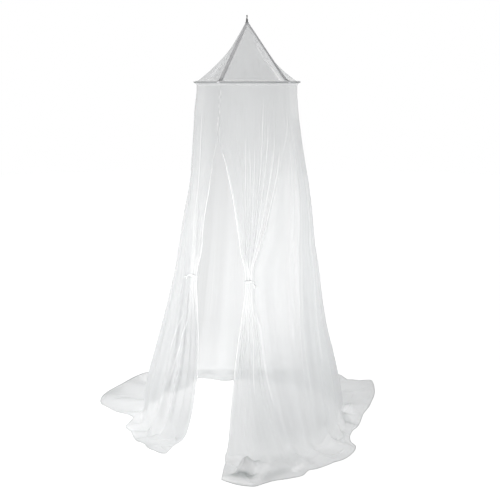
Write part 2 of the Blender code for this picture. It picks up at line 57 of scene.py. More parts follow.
def through(xs, ys, x):
    # A smooth curve through points that never swings past them.
    xs, ys, x = (np.asarray(values, float) for values in (xs, ys, x))
    widths = np.diff(xs)
    slopes = np.diff(ys) / widths
    tangents = np.zeros_like(ys)
    sameWay = slopes[:-1] * slopes[1:] > 0
    left, right = 2 * widths[1:] + widths[:-1], widths[1:] + 2 * widths[:-1]
    safeLeft = np.where(sameWay, slopes[:-1], 1.0)
    safeRight = np.where(sameWay, slopes[1:], 1.0)
    mean = (left + right) / (left / safeLeft + right / safeRight)
    tangents[1:-1] = np.where(sameWay, mean, 0.0)
    tangents[0], tangents[-1] = slopes[0], slopes[-1]
    at = np.clip(np.searchsorted(xs, x, side="right") - 1, 0, len(xs) - 2)
    t = (x - xs[at]) / widths[at]
    return (
        (1 + 2 * t) * (1 - t) ** 2 * ys[at]
        + t * (1 - t) ** 2 * widths[at] * tangents[at]
        + t * t * (3 - 2 * t) * ys[at + 1]
        - t * t * (1 - t) * widths[at] * tangents[at + 1]
    )


def polar(azimuth, radius, height):
    # Azimuth 0 is the front, 90 the right; heights are above the floor.
    angle = np.radians(azimuth)
    x, y = radius * np.sin(angle), -radius * np.cos(angle)
    return np.stack(np.broadcast_arrays(x, y, np.asarray(height) - hangingHeight), axis=-1)


def surfaceNormals(grid):
    normal = np.cross(np.gradient(grid, axis=0), np.gradient(grid, axis=1))
    return normal / np.maximum(np.linalg.norm(normal, axis=-1, keepdims=True), 1e-12)


def gridFaces(rows, columns, closed=False, offset=0):
    i = np.arange(rows - 1)[:, None]
    j = np.arange(columns if closed else columns - 1)[None, :]
    k = (j + 1) % columns
    corners = [i * columns + j, (i + 1) * columns + j, (i + 1) * columns + k, i * columns + k]
    return np.stack(np.broadcast_arrays(*corners), axis=-1).reshape(-1, 4) + offset


def tubeGrid(path, radius, sides=6):
    # Rings of points round a path, for a rolled edge.
    along = np.gradient(path, axis=0)
    along /= np.linalg.norm(along, axis=1, keepdims=True)
    guide = np.where(np.abs(along[:, 2:3]) < 0.8, [[0.0, 0.0, 1.0]], [[1.0, 0.0, 0.0]])
    side = np.cross(along, guide)
    side /= np.linalg.norm(side, axis=1, keepdims=True)
    up = np.cross(side, along)
    turns = np.arange(sides) * 2 * math.pi / sides
    ring = side[:, None] * np.cos(turns)[None, :, None] + up[:, None] * np.sin(turns)[None, :, None]
    return path[:, None] + ring * radius


def arcLengths(grid):
    # Distances along the rows and down the columns, in metres.
    across = np.zeros(grid.shape[:2])
    across[:, 1:] = np.cumsum(np.linalg.norm(np.diff(grid, axis=1), axis=-1), axis=1)
    down = np.zeros(grid.shape[:2])
    down[1:] = np.cumsum(np.linalg.norm(np.diff(grid, axis=0), axis=-1), axis=0)
    middle = grid.shape[1] // 2
    across -= across[:, middle : middle + 1]
    return across, np.broadcast_to(down[:, middle : middle + 1], across.shape)


def makeSheet(name, grid, materials, density=0.6, tone=0.0, white=0.0, edges=()):
    # edges: the path, radius and shade of each rolled edge, which takes the second material.
    sheets = [(grid, False, np.stack(arcLengths(grid), axis=-1), (density, tone, white))]
    for path, radius, shade in edges:
        rings = tubeGrid(path, radius)
        length = np.concatenate(([0.0], np.cumsum(np.linalg.norm(np.diff(path, axis=0), axis=1))))
        turn = np.arange(rings.shape[1]) * radius
        uv = np.stack(np.broadcast_arrays(turn[None, :], length[:, None]), axis=-1)
        sheets.append((rings, True, uv, (1.0, shade, 1 - shade)))
    points, faces, slots, uvs, looks, count = [], [], [], [], [], 0
    for part, closed, uv, values in sheets:
        rows, columns = part.shape[:2]
        points.append(part.reshape(-1, 3))
        faces.append(gridFaces(rows, columns, closed, count))
        slots += [int(closed)] * len(faces[-1])
        uvs.append(uv.reshape(-1, 2))
        looks.append([np.broadcast_to(value, (rows, columns)).reshape(-1) for value in values])
        count += rows * columns
    points, faces, uvs = (np.concatenate(stack) for stack in (points, faces, uvs))
    mesh = bpy.data.meshes.new(name)
    mesh.from_pydata(points.tolist(), [], faces.tolist())
    mesh.polygons.foreach_set("material_index", np.array(slots, np.int32))
    uvLayer = mesh.uv_layers.new(name="UVMap")
    uvLayer.data.foreach_set("uv", uvs[faces.reshape(-1)].astype(np.float32).reshape(-1))
    for label, values in zip(("weave", "tone", "white"), zip(*looks)):
        layer = mesh.attributes.new(label, "FLOAT", "POINT")
        layer.data.foreach_set("value", np.concatenate(values).astype(np.float32))
    mesh.shade_smooth()
    mesh.update()
    piece = bpy.data.objects.new(name, mesh)
    scene.collection.objects.link(piece)
    for material in materials:
        mesh.materials.append(material)
    return piece


def giveWall(piece, thickness):
    wall = piece.modifiers.new("wall", "SOLIDIFY")
    wall.thickness = thickness
    wall.offset = 0.0


def finishSolid(name, material):
    # The active primitive gets its name and material, and its place goes into its mesh.
    piece = bpy.context.object
    piece.name = name
    bpy.ops.object.transform_apply(location=True, rotation=True, scale=True)
    bpy.ops.object.shade_smooth()
    piece.data.materials.append(material)
    return piece


def meshArea(piece):
    return sum(face.area for face in piece.data.polygons)


# Camera

view = {"side": 0.017, "away": 4.5, "height": 2.05, "down": 12.17, "sensor": 36, "reach": 779 / 500, "far": 60}
camera = bpy.data.objects.new("camera", bpy.data.cameras.new("camera"))
scene.collection.objects.link(camera)
scene.camera = camera
camera.location = (view["side"], -view["away"], view["height"] - hangingHeight)
camera.rotation_euler = (math.radians(90 - view["down"]), 0, 0)
camera.data.lens = view["sensor"] * view["reach"]
camera.data.sensor_width = view["sensor"]
camera.data.clip_end = view["far"]


# Materials


def newMaterial(name):
    material = bpy.data.materials.new(name)
    material.use_nodes = True
    tree = material.node_tree
    tree.nodes.clear()
    return material, tree, tree.nodes.new("ShaderNodeOutputMaterial").inputs["Surface"]


def addNode(tree, kind, inputs=None, output=0, **settings):
    # Gives back one output of a new node. An input is linked where it is a socket, else set.
    node = tree.nodes.new("ShaderNode" + kind)
    for label, value in settings.items():
        setattr(node, label, value)
    for label, value in (inputs or {}).items():
        if isinstance(value, bpy.types.NodeSocket):
            tree.links.new(value, node.inputs[label])
        else:
            node.inputs[label].default_value = value
    return node.outputs[output]


def mathNode(tree, operation, first, second, clamp=False):
    return addNode(tree, "Math", {0: first, 1: second}, operation=operation, use_clamp=clamp)


def colourMix(tree, factor, first, second):
    ends = [(*end, 1) if isinstance(end, tuple) else end for end in (first, second)]
    return addNode(tree, "Mix", {"Factor": factor, 6: ends[0], 7: ends[1]}, 2, data_type="RGBA")


def attribute(tree, label):
    return addNode(tree, "Attribute", None, "Fac", attribute_name=label)


net = {
    "cell": 0.0022, "row": 0.0018, "thread": 0.00022, "uneven": 0.08, "bump": 0.0003,
    "white": (0.97, 0.97, 0.97), "dark": (0.33, 0.36, 0.35),
}


def netMaterial(name, colour, threadGain, facingGain, translucent):
    # Fine net: a grid of threads along the weave, denser where it turns away.
    material, tree, surface = newMaterial(name)
    coords = addNode(tree, "UVMap", uv_map="UVMap")
    threads = addNode(tree, "TexBrick", {
        "Scale": 1.0, "Brick Width": net["cell"], "Row Height": net["row"],
        "Mortar Size": net["thread"], "Mortar Smooth": 0.3, "Vector": coords,
    }, "Fac", offset=0.5)
    cloud = addNode(tree, "TexNoise", {"Scale": 9.0, "Detail": 3.0, "Vector": coords}, "Fac")
    facing = addNode(tree, "LayerWeight", {"Blend": 0.5}, "Facing")
    edge = mathNode(tree, "MULTIPLY", mathNode(tree, "POWER", facing, 2.5), facingGain)
    grain = mathNode(tree, "MULTIPLY", threads, threadGain)
    alpha = mathNode(tree, "ADD", attribute(tree, "weave"), grain)
    alpha = mathNode(tree, "ADD", alpha, mathNode(tree, "MULTIPLY", cloud, net["uneven"]))
    alpha = mathNode(tree, "ADD", alpha, edge, clamp=True)
    tint = colourMix(tree, cloud, colour, tuple(c * 0.96 for c in colour))
    # the white attribute paints light on the cloth and whitens its doubled hems and seams; the tone attribute paints
    # shade in grey-green and darkens stitch marks
    tint = colourMix(tree, attribute(tree, "white"), tint, net["white"])
    tint = colourMix(tree, attribute(tree, "tone"), tint, net["dark"])
    relief = addNode(tree, "Bump", {"Strength": 0.15, "Distance": net["bump"], "Height": threads})
    cloth = addNode(tree, "BsdfPrincipled", {
        "Roughness": 0.8, "Sheen Weight": 0.08, "Specular IOR Level": 0.25,
        "Base Color": tint, "Normal": relief,
    })
    glow = addNode(tree, "BsdfTranslucent", {"Color": tint})
    body = addNode(tree, "MixShader", {0: translucent, 1: cloth, 2: glow})
    clear = addNode(tree, "BsdfTransparent")
    tree.links.new(addNode(tree, "MixShader", {0: alpha, 1: clear, 2: body}), surface)
    return material


def tapeMaterial(name, colour, darker, rib, roughness=0.55):
    # Woven tape: ribs across, darker along the stitched edges.
    material, tree, surface = newMaterial(name)
    coords = addNode(tree, "UVMap", uv_map="UVMap")
    ribs = {"Scale": rib, "Distortion": 0.4, "Vector": coords}
    ribs = addNode(tree, "TexWave", ribs, "Fac", bands_direction="Y")
    cloud = addNode(tree, "TexNoise", {"Scale": 30.0, "Vector": coords}, "Fac")
    tint = colourMix(tree, cloud, colour, tuple(c * 0.88 for c in colour))
    tint = colourMix(tree, attribute(tree, "tone"), tint, darker)
    relief = addNode(tree, "Bump", {"Strength": 0.4, "Distance": 0.0004, "Height": ribs})
    cloth = addNode(tree, "BsdfPrincipled", {
        "Roughness": roughness, "Sheen Weight": 0.2, "Base Color": tint, "Normal": relief,
    })
    tree.links.new(cloth, surface)
    return material


def wireMaterial(name, colour, roughness):
    # Coated wire with faint rubbed patches.
    material, tree, surface = newMaterial(name)
    coords = addNode(tree, "TexCoord", None, "Object")
    cloud = addNode(tree, "TexNoise", {"Scale": 60.0, "Detail": 4.0, "Vector": coords}, "Fac")
    tint = colourMix(tree, cloud, colour, tuple(min(1, c * 1.5) for c in colour))
    wire = addNode(tree, "BsdfPrincipled", {"Roughness": roughness, "Metallic": 0.0, "Base Color": tint})
    tree.links.new(wire, surface)
    return material


netCloth = netMaterial("net_cloth", (0.68, 0.69, 0.695), 0.16, 0.12, translucent=0.45)
hemCloth = netMaterial("hem_cloth", (0.95, 0.95, 0.95), 0.0, 0.0, translucent=0.3)
tapeCloth = tapeMaterial("tape_cloth", (0.60, 0.60, 0.61), (0.40, 0.40, 0.41), 900.0)
patchCloth = tapeMaterial("patch_cloth", (0.36, 0.36, 0.37), (0.24, 0.24, 0.25), 900.0)
tieCloth = tapeMaterial("tie_cloth", (0.80, 0.81, 0.81), (0.66, 0.67, 0.67), 700.0, roughness=0.7)
loopCloth = tapeMaterial("loop_cloth", (0.020, 0.020, 0.022), (0.010, 0.010, 0.011), 1200.0)
hoopCoat = wireMaterial("hoop_coat", (0.27, 0.273, 0.278), 0.4)
hookCoat = wireMaterial("hook_coat", (0.035, 0.035, 0.037), 0.45)
print("materials made")


# Skirt: level by level, then out over the floor

doorway, rightSeam, backSeam, leftSeam = -30.0, 49.5, 141.5, 226.0
seams = (doorway, rightSeam, backSeam, leftSeam, doorway + 360)
sides = ("front", "right", "back", "left")
netRadius, hoopHeight, crownHeight = 0.284, 2.05, 0.33
floorLift = 0.0013

# At each height: half-widths on four sides, where five lines of cloth lie, and the left door edge's radius
levelNames = (
    "height", "left", "right", "front", "back",
    "doorRight", "gatherRight", "seamRight", "gatherLeft", "doorLeft", "doorLeftRadius",
)
levels = np.array((
    (2.049, 0.284, 0.284, 0.284, 0.284, -30.0, 34.0, 49.5, 292.0, 330.0, 0.284),
    (2.020, 0.284, 0.284, 0.284, 0.284, -30.0, 34.0, 49.5, 292.0, 330.0, 0.284),
    (1.900, 0.297, 0.290, 0.296, 0.294, -29.9, 34.0, 50.5, 292.2, 330.1, 0.295),
    (1.773, 0.303, 0.302, 0.311, 0.306, -29.0, 33.5, 53.0, 293.0, 330.0, 0.314),
    (1.620, 0.312, 0.322, 0.330, 0.322, -20.5, 30.0, 55.0, 296.0, 326.5, 0.333),
    (1.450, 0.329, 0.347, 0.352, 0.347, -12.8, 23.5, 55.0, 300.0, 322.9, 0.350),
    (1.280, 0.360, 0.365, 0.366, 0.372, -8.0, 17.0, 53.0, 304.5, 319.4, 0.368),
    (1.130, 0.381, 0.377, 0.374, 0.393, -4.6, 9.6, 50.0, 306.2, 318.2, 0.376),
    (1.030, 0.397, 0.392, 0.384, 0.410, -1.2, 4.8, 48.5, 307.0, 315.0, 0.386),
    (0.950, 0.411, 0.404, 0.390, 0.424, -1.0, 4.6, 47.0, 307.0, 313.8, 0.387),
    (0.820, 0.441, 0.419, 0.414, 0.446, -3.2, 6.2, 45.0, 306.4, 313.8, 0.385),
    (0.640, 0.485, 0.448, 0.437, 0.480, -6.4, 8.6, 43.0, 306.2, 314.2, 0.387),
    (0.460, 0.533, 0.493, 0.456, 0.525, -8.9, 11.2, 42.5, 305.4, 314.0, 0.391),
    (0.300, 0.577, 0.530, 0.474, 0.564, -10.4, 15.0, 43.0, 303.1, 312.2, 0.403),
    (0.150, 0.606, 0.556, 0.492, 0.596, -11.4, 19.0, 44.0, 300.7, 309.8, 0.421),
    (0.045, 0.632, 0.577, 0.518, 0.624, -12.0, 22.0, 45.0, 298.7, 307.9, 0.444),
    (0.000, 0.664, 0.604, 0.552, 0.660, -12.2, 23.0, 46.0, 297.9, 306.9, 0.474),
))[::-1]
# The same lines as counted along the cloth, and where they lie at the hem
clothLines = (doorway, 34.0, rightSeam, backSeam, leftSeam, 292.0, doorway + 360)
hemLines = (-10.2, 26.0, 46.0, backSeam, leftSeam, 296.5, 314.4)

# The hem's outline on the floor: azimuth and distance from the axis
hemOutline = np.array((
    (-10.2, 0.753), (-2.3, 0.800), (2.6, 0.812), (6.8, 0.786), (11.4, 0.765),
    (22.4, 0.760), (28.0, 0.722), (31.7, 0.730), (40.4, 0.730), (47.1, 0.746),
    (53.4, 0.742), (60.0, 0.722), (64.0, 0.672), (70.7, 0.648), (75.4, 0.650),
    (82.0, 0.678), (88.3, 0.700), (96.5, 0.735), (105.0, 0.816), (109.8, 0.868),
    (115.1, 0.938), (119.5, 0.994), (124.6, 1.062), (127.3, 1.090), (130.0, 1.020),
    (133.5, 0.975), (139.8, 1.012), (150.0, 0.950), (165.0, 0.885), (180.0, 0.860),
    (205.0, 0.930), (222.4, 1.092), (236.9, 1.054), (246.7, 1.045), (251.4, 1.022),
    (255.2, 0.983), (258.2, 0.912), (261.5, 0.840), (264.5, 0.745), (267.5, 0.714),
    (272.9, 0.729), (277.8, 0.746), (283.3, 0.716), (293.3, 0.708), (298.9, 0.678),
    (303.1, 0.681), (308.1, 0.666), (312.0, 0.659), (314.4, 0.632),
))

# Loose folds: cloth line, width, the height where each begins and its depth at the foot
looseFolds = (
    (38.0, 7.0, 1.75, 0.028), (45.0, 6.5, 1.50, 0.022),
    (57.5, 10.0, 1.90, 0.040), (68.5, 10.0, 1.55, 0.026), (80.0, 10.0, 1.90, 0.036),
    (91.5, 10.0, 1.60, 0.028), (104.0, 12.0, 1.80, 0.042), (117.5, 12.0, 1.50, 0.034),
    (131.0, 12.0, 1.70, 0.036), (152.5, 14.0, 1.75, 0.036), (167.5, 14.0, 1.45, 0.042),
    (184.0, 15.0, 1.80, 0.034), (200.5, 14.0, 1.50, 0.042), (215.5, 13.0, 1.70, 0.034),
    (235.0, 12.0, 1.80, 0.040), (247.5, 11.0, 1.55, 0.036), (259.0, 10.0, 1.85, 0.032),
    (270.0, 9.5, 1.50, 0.028), (279.5, 8.5, 1.80, 0.030), (287.5, 7.0, 1.50, 0.022),
)
# Gathered pleats: cloth line, width and share of the depth, then that depth at each height, right and left
rightPleats = ((-24.0, 12.0, 0.80), (-12.0, 12.0, 1.00), (1.0, 14.0, 0.85), (14.0, 12.0, 1.00), (26.5, 13.0, 0.90))
leftPleats = ((298.0, 12.0, 0.90), (310.5, 13.0, 1.00), (323.5, 13.0, 0.80))
pleatDepths = np.array((
    (0.000, 0.010, 0.007), (0.150, 0.012, 0.008), (0.460, 0.017, 0.012),
    (0.820, 0.030, 0.024), (0.950, 0.042, 0.031), (1.030, 0.042, 0.031),
    (1.130, 0.030, 0.026), (1.280, 0.018, 0.017), (1.450, 0.008, 0.008),
    (1.620, 0.002, 0.002), (1.773, 0.000, 0.000), (2.100, 0.000, 0.000),
))

# The bunches rounded by their ties
bunches = (
    {"middle": 2.0, "half": 33.0, "depth": 0.014},
    {"middle": 311.0, "half": 20.0, "depth": 0.012},
)

# Fine folds between the main ones: line, width, top, bottom and depth
fineFolds = []
for line in np.arange(doorway + 2, doorway + 358, 3.1):
    width, top = rng.uniform(1.6, 4.2), rng.uniform(0.7, 2.0)
    line += rng.uniform(-1.5, 1.5)
    fineFolds.append((line, width, top, rng.uniform(-0.4, 0.5), rng.uniform(0.0015, 0.0075)))
# Faint flutes hanging from the hoop: line, width, bottom and depth
flutes = []
for line in np.arange(doorway + 3, doorway + 357, 5.3):
    line += rng.uniform(-2, 2)
    flutes.append((line, rng.uniform(3.0, 8.0), rng.uniform(0.9, 1.5), rng.uniform(0.0008, 0.0032)))

# Pressed creases: the heights and cloth lines each passes, then its width, its ridge and how white it is, the white
# being painted light along its crest
creases = (
    (((1.80, 1.0), (1.40, -6.0), (1.20, -8.0), (1.05, -8.0)), 2.4, 0.0015, 0.42),
    (((1.74, 3.2), (1.50, 4.0), (1.32, 5.2), (1.10, 11.5), (1.00, 12.0)), 2.2, 0.0015, 0.42),
    (((1.76, 9.0), (1.32, 10.5), (1.10, 15.0), (1.00, 15.0)), 2.0, 0.0015, 0.38),
    (((1.99, 18.5), (1.80, 16.9), (1.32, 17.0), (1.10, 20.5), (1.00, 20.0)), 2.3, 0.0018, 0.46),
    (((1.87, 22.7), (1.32, 22.1), (1.10, 23.5), (1.00, 23.5)), 2.2, 0.0018, 0.48),
    (((1.80, 29.9), (1.53, 28.4), (1.32, 26.9), (1.13, 25.4), (1.00, 26.0)), 2.4, 0.0020, 0.55),
    (((1.74, 35.6), (1.48, 34.1), (1.29, 32.3), (1.10, 30.5), (1.00, 29.5)), 2.4, 0.0022, 0.60),
    (((1.94, 49.0), (1.80, 43.5), (1.66, 37.6)), 2.6, 0.0015, 0.34),
    (((1.74, 45.0), (1.42, 44.4), (0.87, 45.6), (0.60, 45.6)), 2.4, 0.0015, 0.42),
    (((1.85, 51.6), (1.50, 52.4), (0.68, 51.3), (0.30, 52.4)), 2.4, 0.0025, 0.16),
    (((1.60, 67.3), (0.99, 66.0), (0.64, 65.0), (0.45, 64.5)), 2.0, 0.0030, 0.20),
    (((1.30, 78.7), (0.93, 69.5), (0.57, 70.3), (0.30, 70.0)), 2.0, 0.0030, 0.18),
    (((1.95, 303.5), (1.58, 307.0), (1.31, 300.0), (1.20, 299.0)), 3.0, 0.0015, 0.35),
    (((0.86, 298.0), (0.69, 290.0), (0.50, 283.0), (0.32, 281.0)), 2.2, 0.0025, 0.40),
    (((0.84, 288.0), (0.70, 282.0), (0.46, 276.5)), 2.0, 0.0018, 0.28),
    (((0.85, -18.0), (0.72, -20.0), (0.57, -21.0), (0.45, -21.5)), 4.0, 0.0025, 0.45),
    (((0.90, 24.0), (0.72, 26.0), (0.50, 22.0), (0.38, 20.0)), 3.0, 0.0025, 0.50),
    (((0.88, 33.0), (0.72, 36.2), (0.50, 36.2), (0.30, 36.6)), 1.4, 0.0030, 0.52),
)
# Closely gathered cloth that lets little through, painted white there as light in place of the shade between its
# pleats: spans of height and of cloth line, and how white it is
gathers = (
    ((0.56, 0.90, 1.05, 1.13), (-33.0, -31.0, 31.0, 35.0), 0.70),
    ((0.98, 1.04, 1.14, 1.40), (-33.0, -31.0, -20.0, -12.0), 0.34),
    ((0.98, 1.04, 1.14, 1.30), (22.0, 26.0, 31.0, 34.0), 0.38),
    ((0.66, 0.92, 1.04, 1.14), (292.0, 298.0, 329.0, 333.0), 0.70),
    ((1.00, 1.06, 1.16, 1.56), (290.0, 296.0, 306.0, 312.0), 0.50),
    ((1.00, 1.05, 1.20, 1.55), (319.0, 325.0, 331.0, 333.0), 0.26),
    ((1.84, 1.94, 2.04, 2.20), (284.0, 291.0, 304.0, 312.0), 0.30),
    ((1.80, 1.92, 2.04, 2.20), (50.0, 56.0, 84.0, 96.0), 0.30),
)


def span(marks, x):
    # 0 before the first mark, 1 between the middle two and 0 after the last.
    a, b, c, d = marks
    return ease((x - a) / (b - a)) * (1 - ease((x - c) / (d - c)))


def creased(lines, height):
    # How far a crease stands out here, how white it is, and how white the gathers round it are: both whites are
    # painted light.
    out, white, soft = np.zeros_like(lines), np.zeros_like(lines), np.zeros_like(lines)
    for path, width, ridge, paintedLight in creases:
        heights, places = np.array(path)[::-1].T
        if not heights[0] - 0.05 < height < heights[-1]:
            continue
        line = through(heights, places, np.clip(height, heights[0], heights[-1]))
        reach = ease((heights[-1] - height) / 0.16) * ease((height - heights[0] + 0.05) / 0.15)
        crest = bump((lines - line) * 2 / width) * reach
        out += ridge * crest
        white = np.maximum(white, paintedLight * crest)
    for levelMarks, lineMarks, paintedLight in gathers:
        here = paintedLight * float(span(levelMarks, height)) * span(lineMarks, lines)
        soft = 1 - (1 - soft) * (1 - here)
    return out, white, soft


# The left bunch is drawn from this line on, and the back wall's foot swings away behind it
swing = {"drawnFrom": 262.0, "out": 0.12, "below": 0.14, "middle": 208, "half": 9.5}


def levelRing(height, lines):
    # Azimuth and distance from the axis of each line of cloth at this height.
    level = {name: through(levels[:, 0], levels[:, n], height) for n, name in enumerate(levelNames)}
    marks = [level["doorRight"], level["gatherRight"], level["seamRight"], backSeam, leftSeam]
    marks += [level["gatherLeft"], level["doorLeft"]]
    azimuth = through(clothLines, marks, lines)
    angle = np.radians(azimuth)
    side = np.where(np.sin(angle) > 0, level["right"], level["left"])
    end = np.where(np.cos(angle) > 0, level["front"], level["back"])
    radius = 1 / np.hypot(np.sin(angle) / side, np.cos(angle) / end)
    pulled = ease((lines - swing["drawnFrom"]) / (clothLines[-1] - 8 - swing["drawnFrom"]))
    radius = radius + (level["doorLeftRadius"] - radius) * pulled
    away = swing["out"] * max(0.0, 1 - height / swing["below"]) ** 2
    return azimuth, radius + away * bump((azimuth - swing["middle"]) / swing["half"])


def wander(height, seed):
    # A fold's line strays a little on its way down.
    return 0.7 * np.sin(height * 2.3 + seed * 1.7) + 0.35 * np.sin(height * 6.1 + seed * 2.9)


calmBack = {"folds": (145, 220, 0.35), "flutes": (145, 240, 0.2), "fine": (140, 156, 222, 236)}
pleatShare = {"tied": 0.20, "above": 0.35, "crease": 0.16}


def foldsOut(lines, height):
    # How far the loose and the gathered folds stand out. The back hangs calmer than the front and sides.
    loose = np.zeros_like(lines)
    for n, (line, width, top, depth) in enumerate(looseFolds):
        grown = max(0.0, 1 - height / top) ** 0.8
        first, last, share = calmBack["folds"]
        grown *= share if first < line < last else 1.0
        across = (lines - line - 0.5 * wander(height, n)) * 2 / width
        crest = bump(across) ** 1.15
        loose += depth * grown * crest
    for n, (line, width, top, bottom, depth) in enumerate(fineFolds):
        grown = ease((top - height) / 0.5) * ease((height - bottom) / 0.35)
        calm = 1 - ease((lines - 292) / 10) * 0.7 - 0.7 * ease((33 - lines) / 8)  # less in the bunches
        calm = calm - 0.85 * span(calmBack["fine"], lines)
        calm *= 1 - 0.75 * float(span((0.45, 0.65, 1.06, 1.20), height)) * ease((33 - lines) / 6)
        calm *= 1 - 0.45 * float(ease((0.70 - height) / 0.4))
        loose += depth * grown * calm * bump((lines - line - 0.8 * wander(height, n + 40)) * 2 / width)
    for n, (line, width, bottom, depth) in enumerate(flutes):
        first, last, share = calmBack["flutes"]
        hung = ease((height - bottom) / 0.4) * ease((2.02 - height) / 0.2) * (share if first < line < last else 1.0)
        loose += depth * hung * bump((lines - line - 0.5 * wander(height, n + 90)) * 2 / width)
    gathered = np.zeros_like(lines)
    slack = 1 - 0.75 * ease((height - 1.06) / 0.2) * ease((8 - lines) / 20)
    tied = float(span((0.60, 0.93, 1.04, 1.28), height))
    for column, (pleats, share, bunch) in enumerate(zip((rightPleats, leftPleats), (slack, 1.0), bunches), 1):
        deep = pleatShare["tied"] + pleatShare["above"] * float(ease((height - 1.05) / 0.25))
        deep *= through(pleatDepths[:, 0], pleatDepths[:, column], height)
        for line, width, size in pleats:
            gathered += deep * share * size * bump((lines - line) * 2 / width)
            second = bump((lines - line - 0.12 * width) * 5 / width)
            gathered += deep * share * size * pleatShare["crease"] * second
        across = (lines - bunch["middle"]) / bunch["half"]
        gathered += tied * bunch["depth"] * np.sqrt(np.clip(1 - across**2, 0, 1))
    return loose, gathered


columnStep = 0.45  # degrees between two columns of a panel


def skirtGrid(start, end):
    # A panel's points, from the hoop down the wall and out over the floor, with its pale marks.
    lines = np.linspace(start, end, int((end - start) / columnStep) + 1)
    heights = np.concatenate((
        np.linspace(2.049, 0.30, 112), np.linspace(0.30, 0.06, 22)[1:], np.linspace(0.06, 0.0, 10)[1:],
    ))
    floorSteps = np.linspace(0, 1, 40)[1:]
    base, out, turned, whites, softs = [], [], [], [], []
    for height in heights:
        azimuth, radius = levelRing(height, lines)
        loose, gathered = foldsOut(lines, height)
        crest, white, soft = creased(lines, height)
        base.append(polar(azimuth, radius, max(height, floorLift)))
        out.append(loose + gathered + crest)
        whites.append(white)
        softs.append(soft)
        turned.append(float(ease(1 - height / 0.22)))
    footAzimuth, footRadius = azimuth, radius
    hemAzimuth = through(clothLines, hemLines, lines)
    hemRadius = through(hemOutline[:, 0], hemOutline[:, 1], hemAzimuth)
    for step in floorSteps:
        azimuth = footAzimuth + (hemAzimuth - footAzimuth) * step
        radius = footRadius + (hemRadius - footRadius) * step
        base.append(polar(azimuth, radius, floorLift))
        out.append(loose * (1 - 0.5 * step) + gathered * (1 - 0.88 * step))
        whites.append(white * float(1 - ease(step / 0.5)))
        softs.append(soft * float(1 - ease(step / 0.5)))
        turned.append(1.0)
    base, out = np.array(base), np.array(out)
    share = np.array(turned)[:, None, None]
    normal = surfaceNormals(base) * (1 - share) + np.array((0.0, 0.0, 1.0)) * share
    normal /= np.linalg.norm(normal, axis=-1, keepdims=True)
    grid = base + normal * out[..., None]
    # the hem itself lies down
    rows = len(heights)
    away = np.concatenate((np.full(rows, 1.0), 1 - ease((floorSteps - 0.86) / 0.14)))
    grid[..., 2] = (grid[..., 2] + hangingHeight - floorLift) * away[:, None] + floorLift - hangingHeight
    return lines, heights, floorSteps, grid, np.array(whites), np.array(softs)


# Soft ridges on the floor, each along a short line: its two ends, width, height and lean
floorRidges = []
for n in range(90):  # spread between the foot and the hem
    azimuth = rng.uniform(-12, 316)
    outline = float(through(hemOutline[:, 0], hemOutline[:, 1], azimuth))
    radius = rng.uniform(0.58, 0.95) * outline
    if 165 < azimuth < 215:
        radius = max(radius, 0.86 * outline)
    centre = polar(azimuth, radius, 0.0)[:2]
    turn = math.radians(azimuth + rng.uniform(-65, 65))
    half = rng.uniform(0.04, 0.13) * np.array((math.cos(turn), math.sin(turn)))
    form = rng.uniform(0.010, 0.026), rng.uniform(0.003, 0.012), rng.uniform(-0.010, 0.010)
    floorRidges.append((centre - half, centre + half, *form))


def floorRelief(grid, wall):
    # Raises the ridges, from a little above the foot outwards.
    flat = grid[..., :2].copy()
    share = np.zeros(grid.shape[:2])
    share[wall - 8 :] = 1.0
    share[wall - 16 : wall - 8] = np.linspace(0, 1, 8)[:, None]
    share[-5:] *= np.array((0.9, 0.7, 0.45, 0.2, 0.05))[:, None]
    for begin, finish, width, height, lean in floorRidges:
        length = np.linalg.norm(finish - begin)
        ahead = (finish - begin) / length
        along = (flat - begin) @ ahead
        across = (flat - begin) @ (-ahead[1], ahead[0])
        ends = ease(along / (0.35 * length)) * ease((length - along) / (0.35 * length))
        crest = bump(across / width) * ends * share
        grid[..., 2] += height * crest
        grid[..., 0] -= lean * ahead[1] * crest
        grid[..., 1] += lean * ahead[0] * crest
    return grid


# Facets pressed into the pool, with painted shade and painted light: where each runs, then its reach, how dark, how
# pale and how high it is
pressed = (
    (((-0.955, 0.40), (-0.90, 0.47)), 0.075, 0.22, 0.0, 0.0),
    (((-0.90, 0.59), (-0.75, 0.78)), 0.055, 0.20, 0.0, 0.0),
    (((-0.848, 0.28), (-0.70, 0.30)), 0.022, 0.30, 0.0, 0.0),
    (((-0.65, 0.12), (-0.63, -0.03)), 0.100, 0.0, 0.18, 0.006),
    (((-0.52, 0.10), (-0.45, -0.10)), 0.100, 0.15, 0.0, 0.0),
    (((-0.423, 0.06), (-0.461, -0.18)), 0.016, 0.0, 0.50, 0.004),
    (((-0.649, -0.287), (-0.559, -0.351)), 0.035, 0.20, 0.0, 0.0),
    (((0.351, -0.098), (0.384, 0.107), (0.53, 0.169), (0.674, 0.092)), 0.050, 0.0, 0.26, 0.008),
    (((0.433, -0.07), (0.565, 0.017), (0.641, -0.07)), 0.055, 0.20, 0.0, 0.0),
    (((0.392, -0.194), (0.453, -0.313)), 0.022, 0.35, 0.0, 0.0),
    (((0.535, 0.347), (0.681, 0.248)), 0.100, 0.10, 0.0, 0.0),
    (((0.43, -0.36), (0.60, -0.33)), 0.060, 0.0, 0.18, 0.0),
    (((-0.099, -0.325), (-0.060, -0.544)), 0.075, 0.0, 0.30, 0.0),
    (((0.094, -0.544), (0.24, -0.53)), 0.085, 0.14, 0.0, 0.0),
    (((0.10, -0.72), (0.20, -0.64)), 0.050, 0.28, 0.0, 0.0),
    (((0.049, -0.754), (0.122, -0.544)), 0.032, 0.0, 0.28, 0.006),
    (((-0.126, -0.732), (-0.056, -0.764), (0.017, -0.785)), 0.032, 0.0, 0.75, 0.0),
    (((0.26, -0.64), (0.29, -0.60)), 0.032, 0.0, 0.45, 0.0),
)


